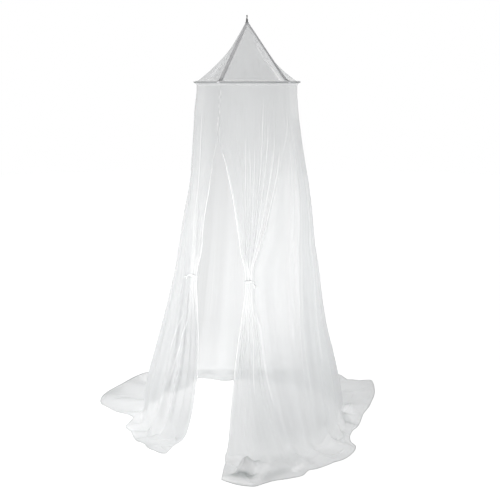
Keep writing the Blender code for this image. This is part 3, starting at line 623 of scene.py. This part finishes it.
def pressedFloor(grid, wall):
    # Facets painted darker as shade and paler as light where the cloth lies folded on itself, and the low ridges along
    # some.
    dark, paintedLight = np.zeros(grid.shape[:2]), np.zeros(grid.shape[:2])
    pool = slice(wall - 4, None)
    flat = grid[pool, :, :2]
    rim = np.ones(len(flat))
    rim[-4:] = (0.8, 0.5, 0.2, 0.0)
    for path, reach, darker, paler, high in pressed:
        path = np.array(path)
        away = np.full(flat.shape[:2], 9.0)
        for begin, finish in zip(path, path[1:]):
            ahead = finish - begin
            along = np.clip(((flat - begin) @ ahead) / (ahead @ ahead), 0, 1)
            away = np.minimum(away, np.linalg.norm(flat - begin - along[..., None] * ahead, axis=-1))
        near = bump(away / reach) ** 0.7
        dark[pool] = np.maximum(dark[pool], darker * near)
        paintedLight[pool] = np.maximum(paintedLight[pool], paler * near)
        grid[pool, :, 2] += high * near * rim[:, None]
    return dark, paintedLight


# hollow is how dark the painted shade in the hollow under the arch is
arch = {"foot": 2.0, "hem": -18.0, "width": 38.0, "height": 0.085, "crest": 0.40, "mouth": 0.70, "hollow": 0.62}


def archedFold(lines, floorSteps, grid, wall):
    # A fold of the front hem stands up in an arch, with a hollow under it that opens forward.
    tone, paintedLight = np.zeros(grid.shape[:2]), np.zeros(grid.shape[:2])
    for n, step in enumerate(floorSteps):
        centre = arch["foot"] + (arch["hem"] - arch["foot"]) * step
        offset = 2 * (lines - centre) / arch["width"]
        across = bump(offset)
        peak = bump(offset * 1.9 + 0.15) ** 0.8
        slope = 0.42 if step < arch["crest"] else arch["mouth"] - arch["crest"] + 0.1
        rise = float(bump((step - arch["crest"]) / slope))
        azimuth = np.arctan2(grid[wall + n, :, 0], -grid[wall + n, :, 1])
        lift = (0.45 * across + 0.55 * peak) * rise * arch["height"]
        crinkle = 0.004 * np.sin(offset * 17 + step * 9) * across * rise
        under = across * (0.045 * float(bump((step - 0.52) / 0.20)) - 0.035 * float(bump((step - 0.72) / 0.14)))
        grid[wall + n, :, 2] += lift + crinkle
        grid[wall + n, :, 0] += under * np.sin(azimuth)
        grid[wall + n, :, 1] -= under * np.cos(azimuth)
        # the hollow under the arch gets painted shade in grey-green
        hollow = float(span((0.50, 0.62, 0.74, 0.80), step))
        tone[wall + n] = hollow * (arch["hollow"] * bump(offset * 1.15) ** 0.5 - 0.15 * bump((offset + 0.1) * 6))
        # its front face and a crease up it get painted light
        face = float(span((0.30, 0.42, 0.54, 0.62), step))
        crease = rise * bump((offset + 0.16 + 1.1 * max(0.0, step - 0.30)) / 0.13)
        paintedLight[wall + n] = np.maximum(0.65 * face * bump(offset * 1.1) ** 0.6, 0.45 * crease)
    return np.clip(tone, 0, 1), np.clip(paintedLight, 0, 1)


def seamBands(grid, width):
    # 1 along the two felled side seams, 0 elsewhere.
    across = arcLengths(grid)[0]
    near = np.minimum(across - across[:, :1], across[:, -1:] - across)
    return 1 - ease((near - width + 0.001) / 0.002)


def puckered(heights, near, way):
    # The doorway's top is sewn shut with a few loose stitches that draw the cloth into small waves.
    closed = (ease((heights - 1.765) / 0.01) * ease((2.035 - heights) / 0.02))[:, None]
    wave = way * np.sin(heights * 88.0 + 2.2 * np.sin(heights * 29.0)) + 0.5 * np.sin(heights * 193.0)
    wave = wave[:, None]
    pucker = closed * wave * bump(near / 0.012)
    knot = (bump((heights - 1.775) / 0.014) + 0.7 * bump((heights - 2.012) / 0.008))[:, None]
    # marks: painted shade in the troughs of the small waves, and darker cloth at the two stitches
    marks = 0.42 * closed * np.clip(-wave, 0, 1) * bump(near / 0.007) + 0.65 * knot * bump(near / 0.005)
    return pucker, np.clip(marks, 0, 1)


# The doorway's two edges: the fold's width and how soft it ends, its white, which is doubled cloth with painted light
# on it, and where that fades in, then the rolled edge's thickness and where it starts
doorEdges = {
    "front": {
        "column": 0, "way": 1, "fold": 0.007, "soft": 0.004, "white": 0.38, "below": 1.72,
        "roll": 0.0018, "from": 1.68,
    },
    "left": {
        "column": -1, "way": -1, "fold": 0.004, "soft": 0.002, "white": 0.18, "below": 9.0,
        "roll": 0.0011, "from": 1.60,
    },
}
hem = {"roll": 0.0018, "shade": 0.55, "seam": 0.004, "seamWhite": 0.22}
# How close the cloth lies by height, and what the back adds to that
fullness = ((0.0, 0.40, 0.80, 1.2, 1.55, 2.06), (0.64, 0.62, 0.42, 0.36, 0.40, 0.44))
backFullness = ((0.0, 0.45, 0.90, 1.30, 1.60, 2.06), (-0.12, -0.06, 0.07, 0.17, 0.14, 0.06))
# Where it lies thicker or thinner on the wall: the sides, by how much, and spans of height and of line.
# The far foot is thinner, where it shows through the doorway and through the left bunch.
wallDensity = (
    ("front right", 0.38, (0.30, 0.60, 1.60, 1.90), (49.0, 50.5, 96, 110)),
    ("back", -0.13, (-2, -1, 0.04, 0.16), (165, 180, 224, 232)),
    ("left", -0.23, (-2, -1, 0.14, 0.42), (225, 226, 250, 266)),
    ("left", 0.09, (-2, -1, 0.14, 0.26), (284, 296, 340, 350)),
)
# The same on the floor, with spans of the way out to the hem
floorDensity = (
    ("back", -0.14, (0.0, 0.3, 2, 3), (140, 155, 226, 232)),
    ("left", -0.22, (-2, -1, 2, 3), (215, 225, 226, 230)),
    ("left", 0.09, (-2, -1, 0.0, 0.4), (284, 296, 340, 350)),
)
# Closer and a little darker (painted shade) where the wall nears the floor in front, and painted light at the right of
# the front
nearFloor = {"lines": (-40, -34, 62, 84), "density": 0.17, "tone": 0.05}
paintedLightFront = {"heights": (0.55, 0.80, 1.40, 1.75), "lines": (22.0, 34.0, 49.6, 50.2), "white": 0.34}
backShade = {"below": 0.62, "plain": 0.02, "middle": 184.0, "half": 21, "dark": 0.26}
pressedThin, softThin, pucker = 0.15, 0.22, 0.0022
halfGap = math.degrees(0.00002 / netRadius)  # between two panels
for side, start, end in zip(sides, seams, seams[1:]):
    lines, heights, floorSteps, grid, white, soft = skirtGrid(start + halfGap, end - halfGap)
    wall = len(heights)
    grid = floorRelief(grid, wall)
    tone, paintedLight = pressedFloor(grid, wall)
    if side == "front":
        arched = archedFold(lines, floorSteps, grid, wall)
        tone, paintedLight = np.maximum(tone, arched[0]), np.maximum(paintedLight, arched[1])
    white = np.maximum(white, paintedLight)
    grid[..., 2] = np.maximum(grid[..., 2], floorLift - hangingHeight)
    if side == "back":
        shade = backShade["plain"] + backShade["dark"] * bump((lines - backShade["middle"]) / backShade["half"])
        tone[:wall] = np.outer(ease((backShade["below"] - heights) / 0.5), shade)
    edges = [(grid[-1], hem["roll"], hem["shade"])]
    if side in doorEdges:
        edge = doorEdges[side]
        across = arcLengths(grid)[0][:wall]
        near = np.abs(across - across[:, edge["column"]][:, None])
        opened = ease((1.76 - heights) / 0.05) * ease((edge["below"] - heights) / 0.20)
        folded = (1 - ease((near - edge["fold"]) / edge["soft"])) * opened[:, None]
        white[:wall] = np.maximum(white[:wall], edge["white"] * folded)
        waves, marks = puckered(heights, near, edge["way"])
        grid[:wall] += surfaceNormals(grid[:wall]) * (waves * pucker)[..., None]
        tone[:wall] = np.maximum(tone[:wall], marks)
        # painted light on the crests of the waves
        white[:wall] = np.maximum(white[:wall], np.clip(waves, 0, 1) * 0.5)
        first = int(np.argmax(heights <= edge["from"]))
        edges.append((grid[first:, edge["column"]], edge["roll"], 0.0))
    seam = seamBands(grid, hem["seam"])
    seam[wall:] = 0.0
    seam[:wall] *= ((0.12 + 0.88 * ease((1.5 - heights) / 0.4)) * ease((heights - 0.2) / 0.4))[:, None]
    white = np.maximum(white, hem["seamWhite"] * seam)
    full = through(*fullness, heights)
    if side == "back":
        full += through(*backFullness, heights)
    density = np.concatenate((full, np.full(len(floorSteps), full[-1])))[:, None] * np.ones_like(white)
    pool = slice(wall, None)
    for part, down, table in ((slice(wall), heights, wallDensity), (pool, floorSteps, floorDensity)):
        for where, amount, marks, lineMarks in table:
            if side in where:
                density[part] += amount * np.outer(span(marks, down), span(lineMarks, lines))
    # marked: the painted shade and stitch marks laid so far, where the cloth is made denser too
    marked = tone.copy()
    close = span(nearFloor["lines"], lines) * (0.55 + 0.45 * ease((lines + 4) / 26))
    close = np.outer(ease((0.57 - heights) / 0.12) * ease((heights + 0.04) / 0.20), close)
    density[:wall] += nearFloor["density"] * close
    tone[:wall] += nearFloor["tone"] * close * (1 - tone[:wall])
    density += (0.95 - density) * np.maximum(np.maximum(white, 0.5 * seam), marked)
    density *= 1 - softThin * soft
    # the gathers get their painted light
    white = np.maximum(white, soft)
    # painted light at the right of the front
    glow = paintedLightFront["white"] * np.outer(span(paintedLightFront["heights"], heights), span(paintedLightFront["lines"], lines))
    white[:wall] = np.maximum(white[:wall], glow)
    density[pool] -= pressedThin * paintedLight[pool]
    name = "net_skirt_" + side
    piece = makeSheet(name, grid, (netCloth, hemCloth), density, tone, white, edges)
    print(name, "area", round(meshArea(piece), 3), "faces", len(piece.data.polygons))
    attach(piece, "root")
    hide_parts("skirt_" + side)
print("skirt made")


# Crown: four gores that sag between the seams

crown = {
    "sag": {"front": 1.5, "right": 2.9, "back": 1.5, "left": 1.6},
    "density": {"front": 0.36, "right": 0.16, "back": 0.44, "left": 0.26},
    "ridge": 0.004, "columns": 49, "seamSide": 0.00095, "fell": 0.0085,
}
# Sheer runs where the gores are stretched thin: (share, azimuth) along each, width and how sheer
sheerRuns = {
    "front": {
        "path": ((0.30, 35.0), (0.45, 33.5), (0.63, 34.5), (0.867, 39.7), (0.97, 40.5)), "width": 0.012, "sheer": 0.42,
    },
    "left": {"path": ((0.55, 308.0), (0.78, 307.8), (0.97, 309.5)), "width": 0.014, "sheer": 0.26},
}


def crownPoint(azimuth, share, start, end):
    # share is 0 at the tip and 1 at the hoop.
    radius = share * (netRadius + 0.0005)
    edge = np.minimum(azimuth - start, end - azimuth)
    rounding = np.degrees(crown["ridge"] / np.maximum(radius, crown["ridge"]))
    edge = np.hypot(np.maximum(edge, 0.0), rounding) - rounding
    half = math.radians(end - start) / 2
    chord = math.cos(half) / np.cos(half - np.radians(edge))
    filled = share ** crown["sag"][sides[seams.index(start)]]
    height = hoopHeight + 0.002 + (crownHeight - 0.002) * (1 - share)
    return polar(azimuth, radius * (filled + (1 - filled) * chord), height)


for side, start, end in zip(sides, seams, seams[1:]):
    shares = np.concatenate((np.linspace(0.02, 0.9, 44), np.linspace(0.9, 1.0, 9)[1:]))
    rows = []
    for share in shares:
        trim = min(math.degrees(crown["seamSide"] / (share * netRadius)), 12.0)
        rows.append(crownPoint(np.linspace(start + trim, end - trim, crown["columns"]), share, start, end))
    grid = np.array(rows)
    across = np.linspace(0, 1, crown["columns"])[None, :]
    down = shares[:, None]
    inwards = np.minimum(across, 1 - across)
    phase = rng.uniform(0, 6, 4)
    puckers = 0.0009 * np.sin(down * 75 + phase[0]) * np.exp(-inwards * 14)
    wide, fine = np.sin(across * 19 + down * 3 + phase[1]), np.sin(across * 33 + phase[2])
    slack = 0.0022 * wide * ease((down - 0.45) / 0.4) * ease((1 - down) / 0.12)
    slack += 0.0016 * fine * ease((down - 0.7) / 0.2) * ease((1 - down) / 0.1)
    grid += surfaceNormals(grid) * ((puckers + slack) * ease(inwards / 0.06))[..., None]
    distance = arcLengths(grid)[0]
    begins, finishes = distance - distance[:, :1], distance[:, -1:] - distance
    near = {"front": np.minimum(begins, finishes), "right": begins, "left": finishes}.get(side, begins + 1)
    density = np.full(grid.shape[:2], crown["density"][side])
    if side in sheerRuns:
        run = sheerRuns[side]
        marks = np.array(run["path"])
        place = through(marks[:, 0], marks[:, 1], np.clip(shares, marks[0, 0], marks[-1, 0]))
        middle = np.array([crownPoint(a, s, start, end) for a, s in zip(place, shares)])
        away = np.linalg.norm(grid - middle[:, None], axis=-1)
        density -= run["sheer"] * bump(away / run["width"]) * ease((down - marks[0, 0]) / 0.15)
    density *= 1 - 0.5 * ease((down - 0.955) / 0.03)
    density = np.where(near < crown["fell"], 0.97, density)
    piece = makeSheet("net_crown_" + side, grid, (netCloth, hemCloth), density)
    print(piece.name, "area", round(meshArea(piece), 4))
    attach(piece, "root")
    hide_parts("crown_" + side)
print("crown made")


# Tapes down the crown's seams


def liftedCrown(azimuth, share, lift):
    # A point that stands off the crown, square to it.
    def cloth(angle, s):
        turned = (angle - doorway) % 360 + doorway
        for start, end in zip(seams, seams[1:]):
            if turned <= end:
                return crownPoint(turned, s, start, end)

    here = cloth(azimuth, share)
    side = cloth(azimuth + 0.5, share) - cloth(azimuth - 0.5, share)
    down = cloth(azimuth, share + 0.004) - cloth(azimuth, share - 0.004)
    normal = np.cross(down, side)
    return here + lift * normal / np.linalg.norm(normal)


tape = {
    "width": 0.020, "lift": 0.0022, "sheer": 0.22, "thickness": 0.0009,
    "top": 0.052, "bottom": 0.955, "widest": 34.0,
}
# The tape's end folds over the casing: radius and rise
tapeEnd = ((0.2880, 0.0088), (0.2972, 0.0071), (0.3024, 0.0046), (0.3034, 0.0020), (0.3034, -0.0060))
for name, seam in zip(("front_left", "front_right", "back_right", "back_left"), seams):
    columns = np.linspace(-1, 1, 9)
    rows = []
    for share in np.linspace(tape["top"], tape["bottom"], 60):
        half = min(math.degrees(tape["width"] / 2 / (share * netRadius)), tape["widest"])
        pinch = 1 - 0.03 * (0.5 + 0.5 * math.sin(share * 160 + seam))
        rows.append([liftedCrown(seam + turn * half * pinch, share, tape["lift"]) for turn in columns])
    for radius, rise in tapeEnd:
        half = math.degrees(tape["width"] / 2 / radius)
        rows.append([polar(seam + turn * half, radius, hoopHeight + rise) for turn in columns])
    grid = np.array(rows)
    # the front tapes are solid grey tape; the back ones, seen through the net, are painted white and sheer as light on
    # their inner side
    if "front" in name:
        piece = makeSheet("seam_tape_" + name, grid, (tapeCloth,), tone=np.abs(columns) ** 4)
        giveWall(piece, tape["thickness"])
    else:
        piece = makeSheet("seam_tape_" + name, grid, (netCloth,), tape["sheer"], white=1.0)
    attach(piece, "root")
    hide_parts("tape_" + name)
print("tapes made")


# Hoop and its casing

hoop = {"radius": 0.297, "wire": 0.006}
bpy.ops.object.select_all(action="DESELECT")
bpy.ops.mesh.primitive_torus_add(
    major_radius=hoop["radius"], minor_radius=hoop["wire"] / 2, major_segments=160, minor_segments=12,
    location=(0, 0, hoopHeight - hangingHeight),
)
hoopWire = finishSolid("hoop_wire", hoopCoat)
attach(hoopWire, "root")
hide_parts("hoop")

casing = {"bend": 0.00481, "inside": 0.2863, "flare": 0.0012, "rise": 0.0056, "drop": 0.017}
profile = [(netRadius + 0.0003, casing["rise"])]
for a in np.radians(np.linspace(90, -80, 12)):
    profile.append((hoop["radius"] + casing["bend"] * math.cos(a), casing["bend"] * math.sin(a)))
profile += [(0.2890, -0.0085), (casing["inside"] + casing["flare"], -0.011)]
profile += [(casing["inside"], -0.014), (casing["inside"], -casing["drop"])]
turns = np.linspace(0, 360, 360, endpoint=False)
ripple = 0.0006 * np.sin(np.radians(turns) * 47) + 0.0005 * np.sin(np.radians(turns) * 83 + 1.3)
rows = []
for n, (radius, rise) in enumerate(profile):
    shirred = ripple * (1.0 if n > 12 else 0.25)
    rows.append(polar(turns, radius + np.maximum(shirred, -0.0002), hoopHeight + rise))
grid = np.array(rows)
grid = np.concatenate((grid, grid[:, :1]), axis=1)
# drawn tight over the top of the wire and painted pale there as light from above, with painted shade under it:
# density, tone and white row by row
casingLooks = np.array((
    (0.10, 0.95, 0.97, 0.97, 0.97, 0.95, 0.85, 0.60, 0.60, 0.65, 0.65, 0.60, 0.55, 0.80, 0.80, 0.80, 0.80),
    (0.0, 0.0, 0.0, 0.0, 0.0, 0.0, 0.05, 0.3, 0.55, 0.6, 0.6, 0.5, 0.3, 0.05, 0.0, 0.0, 0.0),
    (0.0, 1.0, 1.0, 1.0, 1.0, 1.0, 0.6, 0.0, 0.0, 0.0, 0.0, 0.0, 0.0, 0.4, 0.5, 0.5, 0.5),
))
casingPiece = makeSheet("net_casing", grid, (netCloth, hemCloth), *casingLooks[..., None])
print("casing area", round(meshArea(casingPiece), 4))
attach(casingPiece, "root")
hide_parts("hoop_casing")
print("hoop and casing made")


# Top patch, hanging loop and hook

tip = hoopHeight + crownHeight
patch = {
    "rings": (0.0110, 0.0092, 0.0074, 0.0056), "lift": 0.0036, "rise": 0.0012, "mouth": 0.0040, "thickness": 0.0010,
}
turns = np.linspace(0, 360, 48, endpoint=False)
rows = [[liftedCrown(turn, radius / netRadius, patch["lift"]) for turn in turns] for radius in patch["rings"]]
top = max(point[2] for point in rows[-1]) + patch["rise"] + hangingHeight
rows.append([polar(turn, patch["mouth"], top) for turn in turns])
grid = np.array(rows)
grid = np.concatenate((grid, grid[:, :1]), axis=1)
patchPiece = makeSheet("top_patch", grid, (patchCloth,), tone=np.array((0.7, 0.1, 0.0, 0.1, 0.5))[:, None])
giveWall(patchPiece, patch["thickness"])
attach(patchPiece, "root")
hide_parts("hanging_loop")

loop = {"width": 0.0052, "thickness": 0.0020, "span": 0.0085, "height": 0.011, "foot": -0.0035, "turn": 24.0}
turn = math.radians(loop["turn"])
along = np.array((math.cos(turn), math.sin(turn), 0.0))
deep = np.array((-along[1], along[0], 0.0)) * loop["width"] / 2
half = loop["span"] / 2
route = [(half - 0.0004, loop["foot"]), (half, 0.0005), (half, 0.004)]
route += [(half * math.cos(a), loop["height"] - half + half * math.sin(a)) for a in np.linspace(0, math.pi, 21)]
route += [(-half, 0.004), (-half, 0.0005), (-half + 0.0004, loop["foot"])]
columns = np.linspace(-1, 1, 5)
middle = np.array([along * across + (0, 0, tip + height - hangingHeight) for across, height in route])
grid = middle[:, None] + deep * columns[None, :, None]
loopPiece = makeSheet("hanging_loop_strap", grid, (loopCloth,), tone=np.abs(columns) ** 3)
giveWall(loopPiece, loop["thickness"])
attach(loopPiece, "root")
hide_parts("hanging_loop")

# the doubled end of the strap that is sewn through the patch
root = {"radius": 0.0052, "depth": 0.0090, "below": 0.0006, "flat": 0.72, "bevel": 0.0012}
bpy.ops.object.select_all(action="DESELECT")
bpy.ops.mesh.primitive_cylinder_add(
    vertices=24, radius=root["radius"], depth=root["depth"],
    location=(0, 0, tip - root["below"] - hangingHeight), rotation=(0, 0, turn),
)
bpy.ops.object.mode_set(mode="EDIT")
bpy.ops.mesh.select_all(action="SELECT")
bpy.ops.transform.resize(value=(1.0, root["flat"], 1.0), orient_type="LOCAL")
bpy.ops.mesh.select_all(action="DESELECT")
bpy.ops.object.mode_set(mode="OBJECT")
for face in bpy.context.object.data.polygons:
    face.select = face.normal.z > 0.9
bpy.ops.object.mode_set(mode="EDIT")
bpy.ops.mesh.bevel(offset=root["bevel"], segments=3, affect="EDGES")
bpy.ops.object.mode_set(mode="OBJECT")
rootPiece = finishSolid("loop_root", loopCloth)
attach(rootPiece, "root")
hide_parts("hanging_loop")

# an S of coated wire, swept round its lower bend, up its shank and round its upper bend
hook = {"wire": 0.0044, "bend": 0.0060, "shank": 0.0124, "low": 2.39355, "turn": 106.0, "lip": 0.0020}
low = hook["low"] - hangingHeight
high = hook["low"] + hook["shank"] - hangingHeight
lean = math.asin(2 * hook["bend"] / hook["shank"])
bpy.ops.object.select_all(action="DESELECT")
bpy.ops.mesh.primitive_circle_add(
    vertices=12, radius=hook["wire"] / 2, fill_type="NGON", location=(-hook["bend"], 0, low + hook["lip"])
)
hookPiece = bpy.context.object
hookPiece.name = "hook_wire"
bpy.ops.object.transform_apply(location=True, rotation=True, scale=True)
bpy.ops.object.mode_set(mode="EDIT")
bpy.ops.mesh.select_all(action="SELECT")
bpy.ops.mesh.extrude_region_move(TRANSFORM_OT_translate={"value": (0, 0, -hook["lip"])})
bpy.ops.mesh.spin(steps=24, angle=math.pi + lean, center=(0, 0, low), axis=(0, 1, 0))
shank = (-2 * hook["bend"] * math.cos(lean), 0, hook["shank"] - 2 * hook["bend"] * math.sin(lean))
bpy.ops.mesh.extrude_region_move(TRANSFORM_OT_translate={"value": shank})
upper = -(math.pi + lean + math.radians(5))
bpy.ops.mesh.spin(steps=24, angle=upper, center=(0, 0, high), axis=(0, 1, 0))
bpy.ops.mesh.select_all(action="SELECT")
bpy.ops.mesh.remove_doubles(threshold=0.00002)
bpy.ops.mesh.normals_make_consistent(inside=False)
bpy.ops.transform.rotate(value=-math.radians(hook["turn"]), orient_axis="Z", center_override=(0, 0, 0))
bpy.ops.object.mode_set(mode="OBJECT")
bpy.ops.object.shade_smooth_by_angle(angle=math.radians(50))
hookPiece.data.materials.append(hookCoat)
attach(hookPiece, "root")
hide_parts("hook")
print("loop and hook made")


# Ties round the gathered bunches: a soft band, a knot and two short tails each

tie = {
    "height": 0.990, "width": 0.0100, "thickness": 0.0008, "clear": 0.0022, "bulge": 0.004,
    "tailWidth": 0.006, "knot": 0.0056,
}
tieRows = (
    {"name": "tie_right", "first": doorway, "last": 34.0, "tails": (0.034, 0.024), "length": 0.105},
    {"name": "tie_left", "first": doorway + 360, "last": 292.0, "tails": (0.020, 0.014), "length": 0.120},
)


def tieRoute(first, last):
    # Over the crests of the bunch, round the free edge and back behind it.
    lines = np.linspace(first, last, 121)
    azimuth, radius = levelRing(tie["height"], lines)
    loose, gathered = foldsOut(lines, tie["height"])
    out = loose + gathered + creased(lines, tie["height"])[0]
    reach = np.array([out[max(0, n - 15) : n + 16].max() for n in range(len(out))])
    window = np.ones(25) / 25
    reach = np.convolve(np.pad(reach, 12, mode="edge"), window, mode="valid")
    inner = polar(azimuth, radius, tie["height"])
    radial = polar(azimuth, 1.0, hangingHeight)
    front = inner + radial * (reach + tie["clear"])[:, None]
    back = inner - radial * tie["clear"]
    ahead = inner[0] - inner[-1]
    ahead /= np.linalg.norm(ahead)
    middle, half = (front[0] + back[0]) / 2, np.linalg.norm(front[0] - back[0]) / 2
    bend = [
        middle + radial[0] * half * math.sin(a) + ahead * tie["bulge"] * math.cos(a)
        for a in np.radians((75, 50, 25, 0, -25, -50, -75))
    ]
    return np.array(list(front[::-1][::4]) + bend + list(back[::5])), radial[-1], ahead


def strapGrid(centres, width, seed, flat=None):
    # A soft strap on its edge: it pinches and wavers a little.
    columns = np.linspace(-1, 1, 7)
    n = np.arange(len(centres))
    pinch = 1 - 0.10 * np.sin(n * 0.9 + seed) ** 2
    waver = 0.0007 * np.sin(n * 0.55 + seed * 2)
    side = np.array((0.0, 0.0, 1.0)) if flat is None else flat
    out = columns * (width / 2) * pinch[:, None] + waver[:, None]
    return centres[:, None] + side * out[..., None]


for seed, row in enumerate(tieRows):
    centres, outward, ahead = tieRoute(row["first"], row["last"])
    band = makeSheet(row["name"] + "_band", strapGrid(centres, tie["width"], seed), (tieCloth,))
    knotAt = centres[0] + outward * 0.0025 - ahead * 0.001
    bpy.ops.object.select_all(action="DESELECT")
    bpy.ops.mesh.primitive_uv_sphere_add(segments=28, ring_count=18, radius=tie["knot"], location=knotAt)
    vertices = bpy.context.object.data.vertices
    points = np.array([vertex.co for vertex in vertices])
    unit = points / np.linalg.norm(points, axis=1, keepdims=True)
    wrap = bump((unit[:, 0] * 0.75 + unit[:, 2] * 0.66) / 0.34)
    wrap += 0.8 * bump((unit[:, 0] * 0.8 - unit[:, 2] * 0.6) / 0.30)
    points *= ((0.86 + 0.20 * wrap)[:, None]) * (1.0, 0.72, 0.9)
    vertices.foreach_set("co", points.reshape(-1))
    extras = [finishSolid(row["name"] + "_knot", tieCloth)]
    t = np.linspace(0, 1, 16)
    for n, length in enumerate(row["tails"]):
        sway = outward * (0.010 + 0.004 * n) - ahead * (0.006 + 0.010 * n)
        fall = knotAt + sway * ease(t)[:, None] + np.outer(t, (0, 0, -length))
        fall = fall + outward * 0.0015 * np.sin(t * 5 + n)[:, None]
        flat = ahead * math.cos(0.5 * n) + outward * math.sin(0.5 * n)
        tail = strapGrid(fall, tie["tailWidth"], seed + n + 3, flat)
        extras.append(makeSheet(f"{row['name']}_tail_{n + 1}", tail, (tieCloth,)))
    for piece in [band] + extras[1:]:
        giveWall(piece, tie["thickness"])
    for piece in [band] + extras:
        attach(piece, "root")
        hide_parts(row["name"])
    print(band.name, "length", round(float(np.linalg.norm(np.diff(centres, axis=0), axis=1).sum()), 4))
print("ties made")


# Floor, light and view

studio = {
    "floor": 14.0, "floorColour": (0.30, 0.30, 0.30, 1), "floorGlow": 0.98,
    "sky": 1.0, "low": (0.115, (1.0, 1.0, 1.0, 1)), "high": (0.20, (0.10, 0.10, 0.102, 1)),
}
bpy.ops.object.select_all(action="DESELECT")
bpy.ops.mesh.primitive_circle_add(
    vertices=64, radius=studio["floor"], fill_type="NGON", location=(0, 0, -hangingHeight)
)
floorPaint, tree, surface = newMaterial("floor_paint")
paint = addNode(tree, "BsdfPrincipled", {
    "Base Color": studio["floorColour"], "Roughness": 0.9,
    "Emission Color": (1, 1, 1, 1), "Emission Strength": studio["floorGlow"],
})
tree.links.new(paint, surface)
floor = bpy.context.object
floor.name = "floor"
floor.data.materials.append(floorPaint)

# white low down, dark overhead
world = bpy.data.worlds.new("studio")
scene.world = world
world.use_nodes = True
tree = world.node_tree
background = tree.nodes["Background"]
background.inputs["Strength"].default_value = studio["sky"]
upward = addNode(tree, "SeparateXYZ", {0: addNode(tree, "TexCoord", None, "Generated")}, "Z")
ramp = tree.nodes.new("ShaderNodeValToRGB")
for stop, label in zip(ramp.color_ramp.elements, ("low", "high")):
    stop.position, stop.color = studio[label]
tree.links.new(upward, ramp.inputs[0])
tree.links.new(ramp.outputs["Color"], background.inputs["Color"])

# Each light: where it stands, what it looks at, its size, its power and its spread
softboxes = (
    ("left", (-2.9, -2.4, 1.25), (-0.1, 0, 1.15), 0.8, 8, 45),
    ("right", (2.8, -2.6, 1.25), (0.1, 0, 1.15), 0.8, 6, 45),
    ("behind", (-0.2, 2.8, 0.9), (0, 0.3, 0.85), 1.0, 5.0, 55),
    ("behind_low", (0.1, 2.5, 1.5), (0, 0.75, 0.05), 0.8, 2.8, 50),
    ("left_low", (-1.7, -1.0, 2.6), (-0.82, -0.05, 0), 0.7, 3.4, 40),
    ("right_low", (1.8, -1.2, 2.6), (0.66, -0.2, 0), 0.7, 0.9, 40),
    ("overhead", (-0.3, -0.6, 3.6), (0, 0, 2.0), 1.4, 4, 120),
)
for name, place, aim, size, power, spread in softboxes:
    data = bpy.data.lights.new(name, "AREA")
    data.energy = power
    data.size = size
    data.spread = math.radians(spread)
    light = bpy.data.objects.new(name, data)
    place, aim = (Vector(point) - Vector((0, 0, hangingHeight)) for point in (place, aim))
    light.location = place
    light.rotation_euler = (aim - place).to_track_quat("-Z", "Y").to_euler()
    scene.collection.objects.link(light)

scene.view_settings.view_transform = "Standard"
scene.cycles.transparent_max_bounces = 24
scene.cycles.use_denoising = True

print("scene made")
